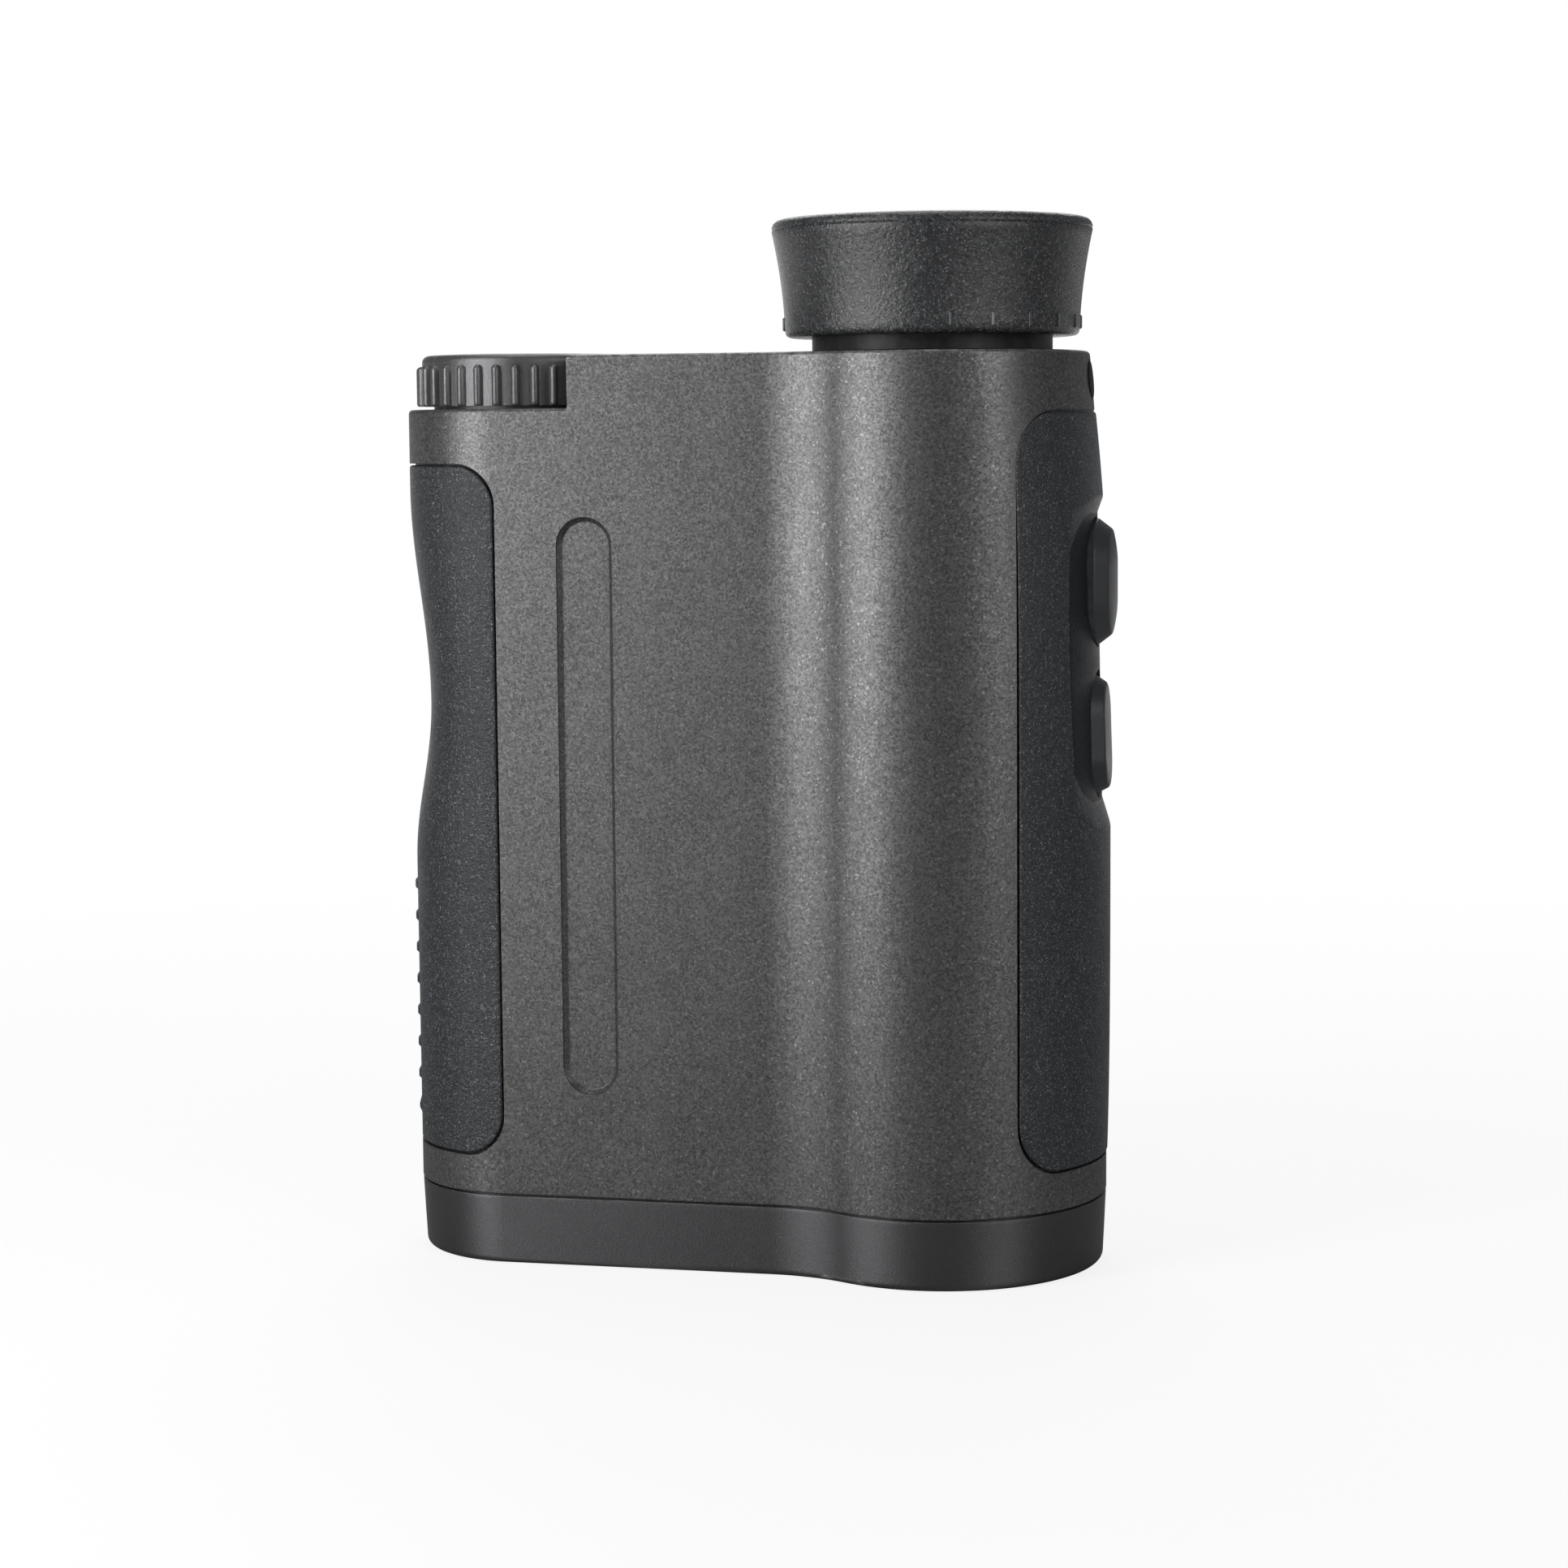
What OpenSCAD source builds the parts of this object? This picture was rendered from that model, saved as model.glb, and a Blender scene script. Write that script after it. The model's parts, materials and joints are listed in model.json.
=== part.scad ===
// Handheld laser rangefinder monocular, standing on its front bezel.
// +Z runs from the objective end to the eyepiece, +X to the button side, -Y to the label side.
// The origin is the middle of the base. All sizes are millimetres.

/* [Body outline] */
// Height of the top deck above the stand face
body_h = 94.8; // [93:0.1:98]
// Height of the black front bezel
bezel_h = 7.4; // [6.8:0.1:8.6]
// Visible gap along the seam lines
seam = 0.2; // [0.1:0.05:0.4]
// Distance of the battery lobe axis left of the middle
bat_x = -25.2; // [-26:0.1:-24.6]
// Radius of the battery lobe
bat_r = 12.2; // [12.1:0.1:13]
// Distance of the optics lobe centre right of the middle
lobe_x = 19.3; // [18.9:0.1:19.8]
// Radius of the optics lobe
lobe_r = 17.2; // [17:0.1:18]
// Angle of each broad face to the middle plane
flat_taper = 1.35; // [0.5:0.05:2.5]
// Radius of the hollow blend between broad face and optics lobe
blend_r = 16.5; // [12:0.5:22]
// Thickness of the housing wall
wall = 3; // [2.8:0.05:3.1]
// Thickness of the top deck
deck_t = 3; // [2.4:0.1:3.6]
// Radius of the inward curve of the button side above its middle
side_curve_r = 430; // [380:10:600]
// Distance below the deck where the button side starts to curve in
side_curve_drop = 39.8; // [35:0.2:45]

/* [Bezel] */
// Thickness of the bezel's front wall
bezel_wall = 3; // [2.6:0.1:3.6]
// Draft of the bezel's side towards the base
bezel_draft = 0.35; // [0.2:0.05:0.6]
// Size of the rounded edge at the base
bezel_round = 0.8; // [0.5:0.1:1]
// Height of the tongue that enters the housing
tongue_h = 2; // [1.6:0.1:2.4]
// How much wider the lens windows are at the front
window_flare = 1.2; // [0.8:0.1:1.3]

/* [Eyepiece] */
// Distance of the optical axis from the lobe centre
eye_shift = 0.8; // [0.5:0.1:1.1]
// Outer radius of the dioptre drum, seen as the neck
neck_r = 12.4; // [12.3:0.1:13]
// Radius of the fixed eyepiece tube
tube_r = 11.2; // [11:0.1:11.4]
// Wall of the eyepiece tube
tube_wall = 1.2; // [1:0.1:1.4]
// Radius of the eyecup at its foot
cup_foot_r = 15.25; // [14.8:0.05:16]
// Radius of the eyecup at its rim
cup_rim_r = 16.5; // [16:0.1:17.5]
// Height of the eyecup
cup_h = 12; // [11.4:0.1:13]
// Gap between deck and eyecup when pushed in
cup_gap = 1.6; // [1.2:0.1:2]
// Length that the eyecup pulls out
cup_travel = 4.6; // [4:0.1:5]
// Radius of the eyepiece lenses
eye_lens_r = 8.5; // [8:0.1:8.7]
// Travel of the lens cell each way
focus_travel = 0.75; // [0.5:0.05:0.9]
// Angle between two dioptre marks on the eyecup
mark_step = 16.5; // [14:0.5:20]

/* [Battery cap] */
// Radius of the cap's smooth band
cap_r = 10.7; // [10.4:0.1:11]
// Height of the ribs above the band
rib_depth = 0.6; // [0.4:0.05:0.7]
// Number of ribs round the cap
rib_count = 34; // [28:1:40]
// Height of the cap's grip
cap_h = 5.3; // [4.8:0.1:6]
// Depth of the corner notch below the deck
notch_h = 5.4; // [5:0.1:6]
// Distance of the notch's upright wall from the middle
notch_x = -17.3; // [-18:0.1:-16.5]
// Radius of the cap's plug
plug_r = 9.5; // [9.4:0.05:9.7]
// Length of the cap's plug
plug_len = 4; // [3.6:0.1:4.4]

/* [Battery] */
// Diameter of the battery
cell_d = 15.6; // [15:0.1:15.7]
// Length of the battery with its nub
cell_len = 27; // [25:0.5:29]
// Wall of the battery tube
cell_tube_wall = 0.45; // [0.35:0.05:0.5]

/* [Grips] */
// Thickness of the rubber grips
grip_t = 1.7; // [1.5:0.05:1.9]
// Thickness of the battery side grip at the deepest point of its scallop
grip_thin = 0.8; // [0.7:0.05:0.9]
// Corner radius of the grips
grip_corner = 4.4; // [3:0.2:6]
// Lower edge of both grips
grip_low = 11.4; // [11:0.1:13]
// Distance of the battery side grip's upper edge below the shoulder
left_grip_drop = 5.6; // [4.4:0.1:7]
// Distance of the button side grip's upper edge below the deck
right_grip_drop = 6; // [5:0.1:7.5]
// Distance of the button side grip's inner edge behind the nose
right_grip_reach = 7.4; // [6.8:0.1:8]
// Depth of the finger scallop
scallop = 2.15; // [1:0.05:2.4]
// Distance of the scallop's deepest point below the grip's upper edge
scallop_drop = 25; // [23:0.2:27]
// Length of the scallop above its deepest point
scallop_up = 22.5; // [20:0.5:23]
// Length of the scallop below its deepest point
scallop_down = 17; // [14:0.5:19]
// Height of the moulded bars on the battery side
bar_proud = 0.25; // [0.15:0.05:0.3]
// Number of moulded bars
bar_count = 8; // [4:1:9]

/* [Buttons] */
// Distance of the main button's centre below the deck
main_drop = 23.6; // [23:0.1:24.2]
// Distance between the two buttons' centres
button_pitch = 15.8; // [15.2:0.1:16.2]
// Length of both buttons
button_len = 13; // [12.4:0.1:13.4]
// Width of the main button
main_w = 9.5; // [8.8:0.1:10]
// Width of the second button
second_w = 8.4; // [7.8:0.1:9.2]
// How far the main button's crown stands out past the lobe
main_proud = 1.15; // [0.9:0.05:1.5]
// How far the second button's face stands out past the lobe
second_proud = 0.4; // [0.2:0.1:0.7]
// Width of the bevel round both buttons
button_bevel = 1.1; // [0.8:0.1:1.3]
// Travel of both buttons
button_travel = 0.8; // [0.5:0.05:0.9]
// Radius of the button stems
stem_r = 2; // [1.6:0.1:2.2]

/* [Optics] */
// Gap between the housing wall and the objective barrel
barrel_gap = 1; // [0.8:0.1:2]
// Gap between the housing wall and the laser barrel
laser_gap = 0.5; // [0.4:0.1:1.5]
// Wall of both lens barrels
barrel_wall = 1.2; // [1:0.05:1.3]
// Distance of the bulkhead below the deck
bulkhead_drop = 52.8; // [51.4:0.2:54.8]
// Thickness of the bulkhead
bulkhead_t = 2.5; // [2.2:0.1:3]

/* [Label recess] */
// Width of the label recess
label_w = 5.9; // [5:0.1:7]
// Distance of the label recess above the bezel
label_rise = 11; // [8:0.5:16]
// Distance of the label recess below the shoulder
label_drop = 11.1; // [8:0.1:16]
// Depth of the label recess
label_depth = 0.45; // [0.2:0.05:0.6]

/* [Hidden] */
$fn = 64;

// Clearances
slip = 0.06;      // running fit of turning and sliding pieces
loose = 0.25;     // free gap round buttons and covers
snug = 0.05;      // gap of pieces that are set in and stay
over = 1;         // overshoot of cutting shapes
far = 120;        // larger than the part

// Heights
seat_depth = 6;
drum_gap = 0.15;
cup_hold = 3.2;
retainer_room = 1.2;
prism_space = 35.5;
cap_gap = 0.35;
contact_t = 0.7;
contact_gap = 0.3;
spring_room = 4;
key_drop = 4;
shoulder_z = body_h - notch_h;
bat_deck_z = shoulder_z - seat_depth;
deck_under = body_h - deck_t;
bulkhead_z = body_h - bulkhead_drop;
bulkhead_top = bulkhead_z + bulkhead_t;
cup_z = body_h + cup_gap;
cup_top = cup_z + cup_h;
drum_z = body_h + drum_gap;
drum_top = cup_z + cup_travel + cup_hold;
tube_top = drum_top + retainer_room;
holder_top = bulkhead_top + prism_space;
cap_z = shoulder_z + cap_gap;
plug_z = cap_z - plug_len;
cell_top = plug_z - contact_t - contact_gap;
cell_z = cell_top - cell_len;
tube_foot = cell_z - spring_room;
key_z = deck_under - key_drop;
side_curve_z = body_h - side_curve_drop;
left_grip_top = shoulder_z - left_grip_drop;
right_grip_top = body_h - right_grip_drop;
scallop_z = left_grip_top - scallop_drop;
main_z = body_h - main_drop;
second_z = main_z - button_pitch;
label_low = bezel_h + label_rise;
label_len = shoulder_z - label_drop - label_low;

// Radii
pocket_gap = 0.4;
cell_gap = 0.2;
flange_step = 0.4;
rib_r = cap_r + rib_depth;
pocket_r = rib_r + pocket_gap;
cell_r = cell_d / 2;
cell_tube_r = cell_r + cell_gap + cell_tube_wall;
cup_bore = neck_r + slip;
cell_bore = tube_r - tube_wall;
barrel_r = lobe_r - wall - barrel_gap;
objective_r = barrel_r - barrel_wall;
laser_barrel_r = bat_r - wall - laser_gap;
laser_r = laser_barrel_r - barrel_wall;
flange_r = barrel_r - flange_step;

// Places across the part
pad_depth = 4.2;
pad_t = 0.7;
rest_gap = 0.05;
board_t = 1;
switch_room = 3;
bay_depth = 0.8;
floor_r = 26.3;
deck_web = 2;
label_shift = 9.5;
boss_r = 2.4;
screw_r = 1;
nose_x = lobe_x + lobe_r;
eye_x = lobe_x - eye_shift;
right_grip_x = nose_x - right_grip_reach;
main_crown = nose_x + main_proud;
second_crown = nose_x + second_proud;
pad_x = nose_x - pad_depth;
pocket_x = pad_x + pad_t;
skirt_x = pocket_x + button_travel + rest_gap;
stem_tip_x = pad_x - rest_gap;
button_board_x = pad_x - switch_room;
cavity_split = bat_x + pocket_r + deck_web;
floor_x = nose_x - bay_depth - floor_r;
label_x = bat_x + label_shift;
boss_in = 6.4;
boss_out = 6.8;
boss_left = 16.7;
boss_right = 26.7;
boss_places = [[bat_x + boss_left, boss_in], [bat_x + boss_right, boss_out]];

function arc(c, r, a0, a1, n) = [for (i = [0:n]) let (a = a0 + (a1 - a0) * i / n) c + r * [cos(a), sin(a)]];
function tail(list) = [for (i = [1:len(list) - 1]) list[i]];
function mirrored(half) = concat(half, [for (i = [len(half) - 2:-1:1]) [half[i][0], -half[i][1]]]);

// The outline: a small lobe, a broad face, a hollow blend and a large lobe, mirrored about Y
flat_n = [-sin(flat_taper), -cos(flat_taper)];
flat_d = [cos(flat_taper), -sin(flat_taper)];
flat_0 = [bat_x, 0] + bat_r * flat_n;
blend_q = flat_0 + blend_r * flat_n - [lobe_x, 0];
blend_b = blend_q * flat_d;
blend_t = -blend_b - sqrt(blend_b * blend_b - blend_q * blend_q + pow(lobe_r + blend_r, 2));
blend_c = flat_0 + blend_t * flat_d + blend_r * flat_n;
blend_end = atan2(-blend_c[1], lobe_x - blend_c[0]);
function outline(d) = mirrored(concat(
    arc([bat_x, 0], bat_r - d, 180, 270 - flat_taper, 14),
    arc(blend_c, blend_r + d, 90 - flat_taper, blend_end, 8),
    tail(arc([lobe_x, 0], lobe_r - d, 180 + blend_end, 360, 28))));

module slab(d, z0, z1) {
    translate([0, 0, z0]) linear_extrude(z1 - z0) polygon(outline(d));
}

// A closed skin over rings of equal point count, from the lowest ring up
module loft(rings) {
    m = len(rings[0]);
    last = len(rings) - 1;
    sides = [for (k = [0:last - 1], i = [0:m - 1]) let (j = (i + 1) % m)
        [k * m + i, (k + 1) * m + i, (k + 1) * m + j, k * m + j]];
    foot = [for (i = [0:m - 1]) i];
    head = [for (i = [m - 1:-1:0]) last * m + i];
    polyhedron([for (ring = rings) each ring], concat(sides, [foot, head]));
}

module ring(r_out, r_in, z0, z1) {
    translate([0, 0, z0]) difference() {
        cylinder(r = r_out, h = z1 - z0);
        translate([0, 0, -over]) cylinder(r = r_in, h = z1 - z0 + 2 * over);
    }
}

// A slot with round ends along Z, pushed out along +X from x0 to x1
module slot_x(w, len, x0, x1, z) {
    r = w / 2;
    translate([x0, 0, z]) rotate([0, 90, 0]) union() {
        for (s = [-1, 1]) translate([s * (len / 2 - r), 0, 0]) cylinder(r = r, h = x1 - x0);
        translate([-(len / 2 - r), -r, 0]) cube([len - w, w, x1 - x0]);
    }
}

// Turned about the optical axis or the battery axis
module on_eye() { translate([eye_x, 0, 0]) children(); }
module on_battery() { translate([bat_x, 0, 0]) children(); }

// A rectangle with round corners on the side given by s, extruded through the depth
module grip_window(x, s, z0, z1, r) {
    rotate([90, 0, 0]) translate([0, 0, -far / 2]) linear_extrude(far) union() {
        for (z = [z0 + r, z1 - r]) translate([x + s * r, z]) circle(r);
        translate([s > 0 ? x : x - r, z0 + r]) square([r, z1 - z0 - 2 * r]);
        translate([s > 0 ? x + r : x - r - far, z0]) square([far, z1 - z0]);
    }
}

module left_window(gap) {
    grip_window(bat_x - gap, -1, grip_low + gap, left_grip_top - gap, grip_corner);
}

module right_window(gap) {
    grip_window(right_grip_x + gap, 1, grip_low + gap, right_grip_top - gap, grip_corner);
}

// How far the button side has curved in at height z
function side_in(z) = z > side_curve_z ? pow(z - side_curve_z, 2) / (2 * side_curve_r) : 0;

module side_profile() {
    steps = 8;
    rise = body_h + over - side_curve_z;
    edge = [for (i = [1:steps]) let (z = side_curve_z + rise * i / steps) [nose_x - side_in(z), z]];
    rotate([90, 0, 0]) translate([0, 0, -far / 2]) linear_extrude(far)
        polygon(concat([[-far, 0], [nose_x + over, 0], [nose_x + over, side_curve_z]], edge,
            [[-far, body_h + over]]));
}

module label_recess() {
    r = label_w / 2;
    y = flat_0[1] - tan(flat_taper) * (label_x - flat_0[0]);
    translate([label_x, y, label_low + label_len / 2]) rotate([0, 0, -flat_taper]) rotate([90, 0, 0])
        translate([0, 0, -label_depth]) union() {
            for (s = [-1, 1]) translate([0, s * (label_len / 2 - r), 0])
                cylinder(r = r, h = label_depth + over);
            translate([-r, -(label_len / 2 - r), 0]) cube([label_w, label_len - label_w, label_depth + over]);
        }
}

module bosses(z0, z1, r) {
    for (p = boss_places, s = [-1, 1]) translate([p[0], s * p[1], z0]) cylinder(r = r, h = z1 - z0);
}

// The thicker outer half of the battery lobe, bored for the battery tube
module battery_cradle() {
    difference() {
        translate([bat_x - far, -far / 2, bulkhead_top + cradle_rise]) cube([far, far, far]);
        on_battery() cylinder(r = cell_tube_r + snug, h = far);
    }
}

rib_t = 2.4;
cradle_rise = 2;
pad_rise = 1;
module cavity() {
    difference() {
        union() {
            slab(wall, bezel_h - over, bat_deck_z);
            intersection() {
                slab(wall, bat_deck_z - over, deck_under);
                translate([cavity_split, -far / 2, 0]) cube([far, far, far]);
            }
        }
        translate([pad_x, -far / 2, bulkhead_top + pad_rise])
            cube([far, far, main_z + button_len - bulkhead_top]);
        battery_cradle();
        bosses(bulkhead_top, deck_under + over, boss_r);
        for (p = boss_places, s = [-1, 1])
            translate([p[0] - rib_t / 2, s > 0 ? p[1] : -far / 2, bulkhead_top])
                cube([rib_t, far / 2 - (s > 0 ? 0 : p[1]), deck_under + over - bulkhead_top]);
    }
}

tab_len = 1.8;
tab_t = 0.6;
module button_pocket(z, w) {
    slot_x(w + 2 * loose, button_len + 2 * loose, pocket_x, far, z);
    slot_x(w / 2 + 2 * loose, button_len + tab_len + 2 * loose, pocket_x, far, z);
    translate([pad_x - over, 0, z]) rotate([0, 90, 0]) cylinder(r = stem_r + slip, h = 3 * over);
}

tongue_air = 0.6;
screw_depth = 8;
module main_housing() {
    color("#4b4a48") difference() {
        intersection() {
            slab(0, bezel_h + seam / 2, body_h);
            side_profile();
        }
        cavity();
        slab(wall / 2, bezel_h - over, bezel_h + tongue_h + tongue_air);
        difference() {
            left_window(0);
            left_seat();
        }
        difference() {
            right_window(0);
            slab(grip_t, 0, far);
        }
        label_recess();
        translate([notch_x - far, -far / 2, shoulder_z]) cube([far, far, far]);
        on_battery() {
            translate([0, 0, shoulder_z]) cylinder(r = pocket_r, h = far);
            translate([0, 0, plug_z - snug]) cylinder(r = plug_r + slip, h = far);
            translate([0, 0, bat_deck_z - over]) cylinder(r = cell_tube_r + snug, h = far);
        }
        on_eye() translate([0, 0, deck_under - over]) cylinder(r = tube_r + snug, h = far);
        bosses(bulkhead_top - over, bulkhead_top + screw_depth, screw_r);
        button_pocket(main_z, main_w);
        button_pocket(second_z, second_w);
        translate([badge_seat_x, 0, badge_z]) rotate([0, 90, 0]) cylinder(r = badge_r + snug, h = far);
    }
}

// Blank round inlay near the eyepiece
badge_r = 2;
badge_t = 0.8;
badge_sunk = 0.6;
badge_drop = 2.9;
badge_z = body_h - badge_drop;
badge_seat_x = nose_x - side_in(badge_z) - badge_sunk;
module side_badge() {
    color("#1b1d20") translate([badge_seat_x, 0, badge_z]) rotate([0, 90, 0])
        cylinder(r = badge_r, h = badge_t);
}

// Front bezel: a drafted cup with two stepped windows and a tongue into the housing
function bezel_ring(d, z) = [for (p = outline(d)) [p[0], p[1], z]];
module front_bezel() {
    top = bezel_h - seam / 2;
    knee = 0.3 * bezel_round;
    flare = window_flare * (bezel_wall + over) / bezel_wall;
    color("#26272a") difference() {
        union() {
            difference() {
                intersection() {
                    loft([bezel_ring(bezel_draft + 2 * bezel_round - knee, -knee),
                        bezel_ring(bezel_draft + knee, knee), bezel_ring(bezel_draft, bezel_round),
                        bezel_ring(0, top + over)]);
                    translate([-far / 2, -far / 2, 0]) cube([far, far, top]);
                }
                slab(wall, bezel_wall, far);
            }
            difference() {
                slab(wall / 2 + snug, bezel_wall, bezel_h + tongue_h);
                slab(wall, bezel_wall - over, far);
            }
        }
        on_eye() translate([0, 0, -over])
            cylinder(r1 = objective_r + flare, r2 = objective_r, h = bezel_wall + over);
        on_battery() translate([0, 0, -over])
            cylinder(r1 = laser_r + flare, r2 = laser_r, h = bezel_wall + over);
    }
}

module bezel_gasket() {
    color("#141414") difference() {
        slab(wall / 2 + snug, bezel_h + tongue_h, bezel_h + tongue_h + tongue_air - snug);
        slab(wall - 2 * snug, 0, far);
    }
}

// Battery side grip: the lobe's skin with a finger scallop and a row of moulded bars
function scallop_at(z) = let (half = z > scallop_z ? scallop_up : scallop_down, t = abs(z - scallop_z) / half)
    t < 1 ? scallop * (0.5 + 0.5 * cos(180 * t)) : 0;
function grip_depth(z) = grip_t - (grip_t - grip_thin) * scallop_at(z) / scallop;
function left_ring(z, inset) = let (s = scallop_at(z), r = bat_r - inset)
    [for (a = [90:7.5:270]) let (c = cos(a)) [bat_x + r * c + s * c * c, r * sin(a), z]];
function left_levels() = let (z0 = grip_low - 2 * over, z1 = left_grip_top + 2 * over, steps = 26)
    [for (k = [0:steps]) z0 + (z1 - z0) * k / steps];

// What the grip is seated on, carried on past the grip's inner edge
module left_seat() {
    past = 3 * over;
    loft([for (z = left_levels()) let (r = bat_r - grip_depth(z))
        concat(left_ring(z, grip_depth(z)), [[bat_x + past, -r, z], [bat_x + past, r, z]])]);
}

bar_rise = 3;
bar_h = 1.3;
bar_half = 4;
bar_root = 0.5;
module left_grip() {
    bar_first = grip_low + bar_rise;
    bar_pitch = (scallop_z - scallop_down - bar_first) / bar_count;
    color("#2b2d30") union() {
        intersection() {
            difference() {
                loft([for (z = left_levels()) left_ring(z, 0)]);
                left_seat();
            }
            left_window(seam);
        }
        for (k = [0:bar_count - 1]) let (z = bar_first + k * bar_pitch) intersection() {
            on_battery() ring(bat_r + bar_proud, bat_r - bar_root, z, z + bar_h);
            translate([bat_x - far, -bar_half, 0]) cube([far, 2 * bar_half, far]);
        }
    }
}

// Button side grip: slightly crowned skin with a shallow button bay
grip_proud = 0.1;
grip_swell = 0.3;
function grip_crown(z) = let (t = (2 * z - grip_low - right_grip_top) / (right_grip_top - grip_low))
    grip_proud + grip_swell * max(0, 1 - pow(t, 4));
function right_ring(z) = let (r = lobe_r + grip_proud, s = side_in(z) - grip_crown(z) + grip_proud)
    [for (a = [-90:7.5:90]) let (c = cos(a)) [lobe_x + r * c - s * c * c, r * sin(a), z]];
bay_below = 0.2;
bay_above = 0.6;
bay_slope = 9;
bay_flare = 3;
bay_lean = 0.25;
bay_low = second_z - button_len / 2 - bay_below;
bay_high = main_z + button_len / 2 + bay_above;
module button_bay() {
    z0 = bay_low - bay_slope;
    z1 = bay_high + bay_slope;
    difference() {
        translate([lobe_x, -far / 2, z0 + over]) cube([far, far, z1 - z0 - 2 * over]);
        translate([floor_x, 0, 0]) rotate_extrude() polygon([[0, z0], [floor_r + bay_flare, z0],
            [floor_r + bay_lean, bay_low], [floor_r - bay_lean, bay_high], [floor_r + bay_flare, z1],
            [0, z1]]);
    }
}
module right_grip() {
    z0 = grip_low - 2 * over;
    z1 = right_grip_top + 2 * over;
    steps = 22;
    color("#2b2d30") difference() {
        intersection() {
            loft([for (k = [0:steps]) right_ring(z0 + (z1 - z0) * k / steps)]);
            right_window(seam);
        }
        slab(grip_t, 0, far);
        button_bay();
        slot_x(main_w + 2 * loose, button_len + 2 * loose, lobe_x, far, main_z);
        slot_x(second_w + 2 * loose, button_len + 2 * loose, lobe_x, far, second_z);
    }
}

// A button: bevelled cap on a straight skirt, with end tabs under the grip and a stem
cap_rise = 1.9;
main_dome = 0.4;
second_dome = 0.1;
blend_t0 = 0.1;
module button(z, w, crown, dome) {
    cap_x = crown - cap_rise;
    top_x = crown - dome - blend_t0;
    union() {
        slot_x(w, button_len, skirt_x, cap_x, z);
        hull() {
            slot_x(w, button_len, cap_x - blend_t0, cap_x, z);
            slot_x(w - 2 * button_bevel, button_len - 2 * button_bevel, cap_x, top_x, z);
            slot_x(w * 0.4, button_len * 0.5, cap_x, crown, z);
        }
        slot_x(w / 2, button_len + tab_len, skirt_x, skirt_x + tab_t, z);
        translate([stem_tip_x, 0, z]) rotate([0, 90, 0])
            cylinder(r = stem_r, h = skirt_x - stem_tip_x + blend_t0);
    }
}

module main_button() { color("#232527") button(main_z, main_w, main_crown, main_dome); }
module second_button() { color("#232527") button(second_z, second_w, second_crown, second_dome); }

// Tactile switches on the button board
switch_w = 4.6;
switch_h = 1.1;
plunger_r = 1.2;
plunger_len = 1.05;
switch_x = button_board_x + board_t;
module at_switches() {
    for (z = [main_z, second_z]) translate([switch_x, 0, z]) rotate([0, 90, 0]) children();
}

module switch_bodies() {
    color("#202020") at_switches() difference() {
        translate([-switch_w / 2, -switch_w / 2, 0]) cube([switch_w, switch_w, switch_h]);
        translate([0, 0, -over]) cylinder(r = plunger_r + slip, h = switch_h + 2 * over);
    }
}

module plunger(z) {
    translate([stem_tip_x - plunger_len, 0, z]) rotate([0, 90, 0]) cylinder(r = plunger_r, h = plunger_len);
}
module main_switch_plunger() { color("#c9a94f") plunger(main_z); }
module second_switch_plunger() { color("#c9a94f") plunger(second_z); }

button_board_w = 10;
board_foot = 1;
board_under = 2.8;
module button_board() {
    color("#1f5a3a") translate([button_board_x, -button_board_w / 2, bulkhead_top - board_foot])
        cube([board_t, button_board_w, holder_top - board_under - bulkhead_top + board_foot]);
}

// Eyepiece: fixed tube, turning drum, pull-out cup, keyed lens cell
key_r = 0.8;
key_reach = 0.6;
flange_t = 2;
module eyepiece_tube() {
    color("#2e2f31") on_eye() difference() {
        union() {
            ring(tube_r, cell_bore, holder_top, tube_top);
            ring(flange_r, cell_bore, holder_top, holder_top + flange_t);
        }
        translate([-far, 0, key_z]) rotate([0, 90, 0]) cylinder(r = key_r, h = far);
    }
}

module cell_key_pin() {
    color("#b8b8b8") on_eye() translate([-tube_r, 0, key_z]) rotate([0, 90, 0])
        cylinder(r = key_r, h = tube_wall + key_reach);
}

drum_key_w = 1.2;
drum_key_t = 0.7;
drum_key_root = 0.2;
drum_key_rise = 2.2;
drum_key_low = drum_z + drum_key_rise;
retainer_t = 0.9;
retainer_step = 0.3;
module dioptre_drum() {
    color("#1d1e20") on_eye() union() {
        ring(neck_r, tube_r + slip, drum_z, drum_top);
        translate([-drum_key_w / 2, neck_r - drum_key_root, drum_key_low])
            cube([drum_key_w, drum_key_t, drum_top - drum_key_root - drum_key_low]);
    }
}

module drum_retainer() {
    color("#3a3b3d") on_eye() ring(neck_r - retainer_step, tube_r, drum_top + slip, drum_top + retainer_t);
}

mark_count = 8;
mark_w = 0.4;
mark_h = 1.4;
mark_proud = 0.12;
mark_rise = 0.7;
foot_round = 0.6;
rim_round = 0.9;
foot_band = 2;
rim_band = 1.1;
rim_lead = 1.5;
rim_lead_h = 2.8;
module eyecup() {
    color("#222427") on_eye() difference() {
        union() {
            translate([0, 0, cup_z]) rotate_extrude() polygon([[cup_bore, 0], [cup_foot_r - foot_round, 0],
                [cup_foot_r - foot_round / 6, foot_round], [cup_foot_r, foot_band],
                [cup_rim_r, cup_h - rim_band],
                [cup_rim_r - rim_round / 4, cup_h - rim_round / 2], [cup_rim_r - rim_round, cup_h],
                [cup_bore + rim_lead, cup_h], [cup_bore, cup_h - rim_lead_h]]);
            for (i = [0:mark_count - 1]) rotate([0, 0, (i - (mark_count - 1) / 2) * mark_step])
                translate([cup_foot_r - over, -mark_w / 2, cup_z + mark_rise])
                    cube([over + mark_proud, mark_w, mark_h]);
        }
        translate([-drum_key_w / 2 - 2 * snug, 0, cup_z - over]) cube([drum_key_w + 4 * snug,
            neck_r - drum_key_root + drum_key_t + 3 * snug, drum_top - cup_z + over + 4 * snug]);
    }
}

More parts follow.
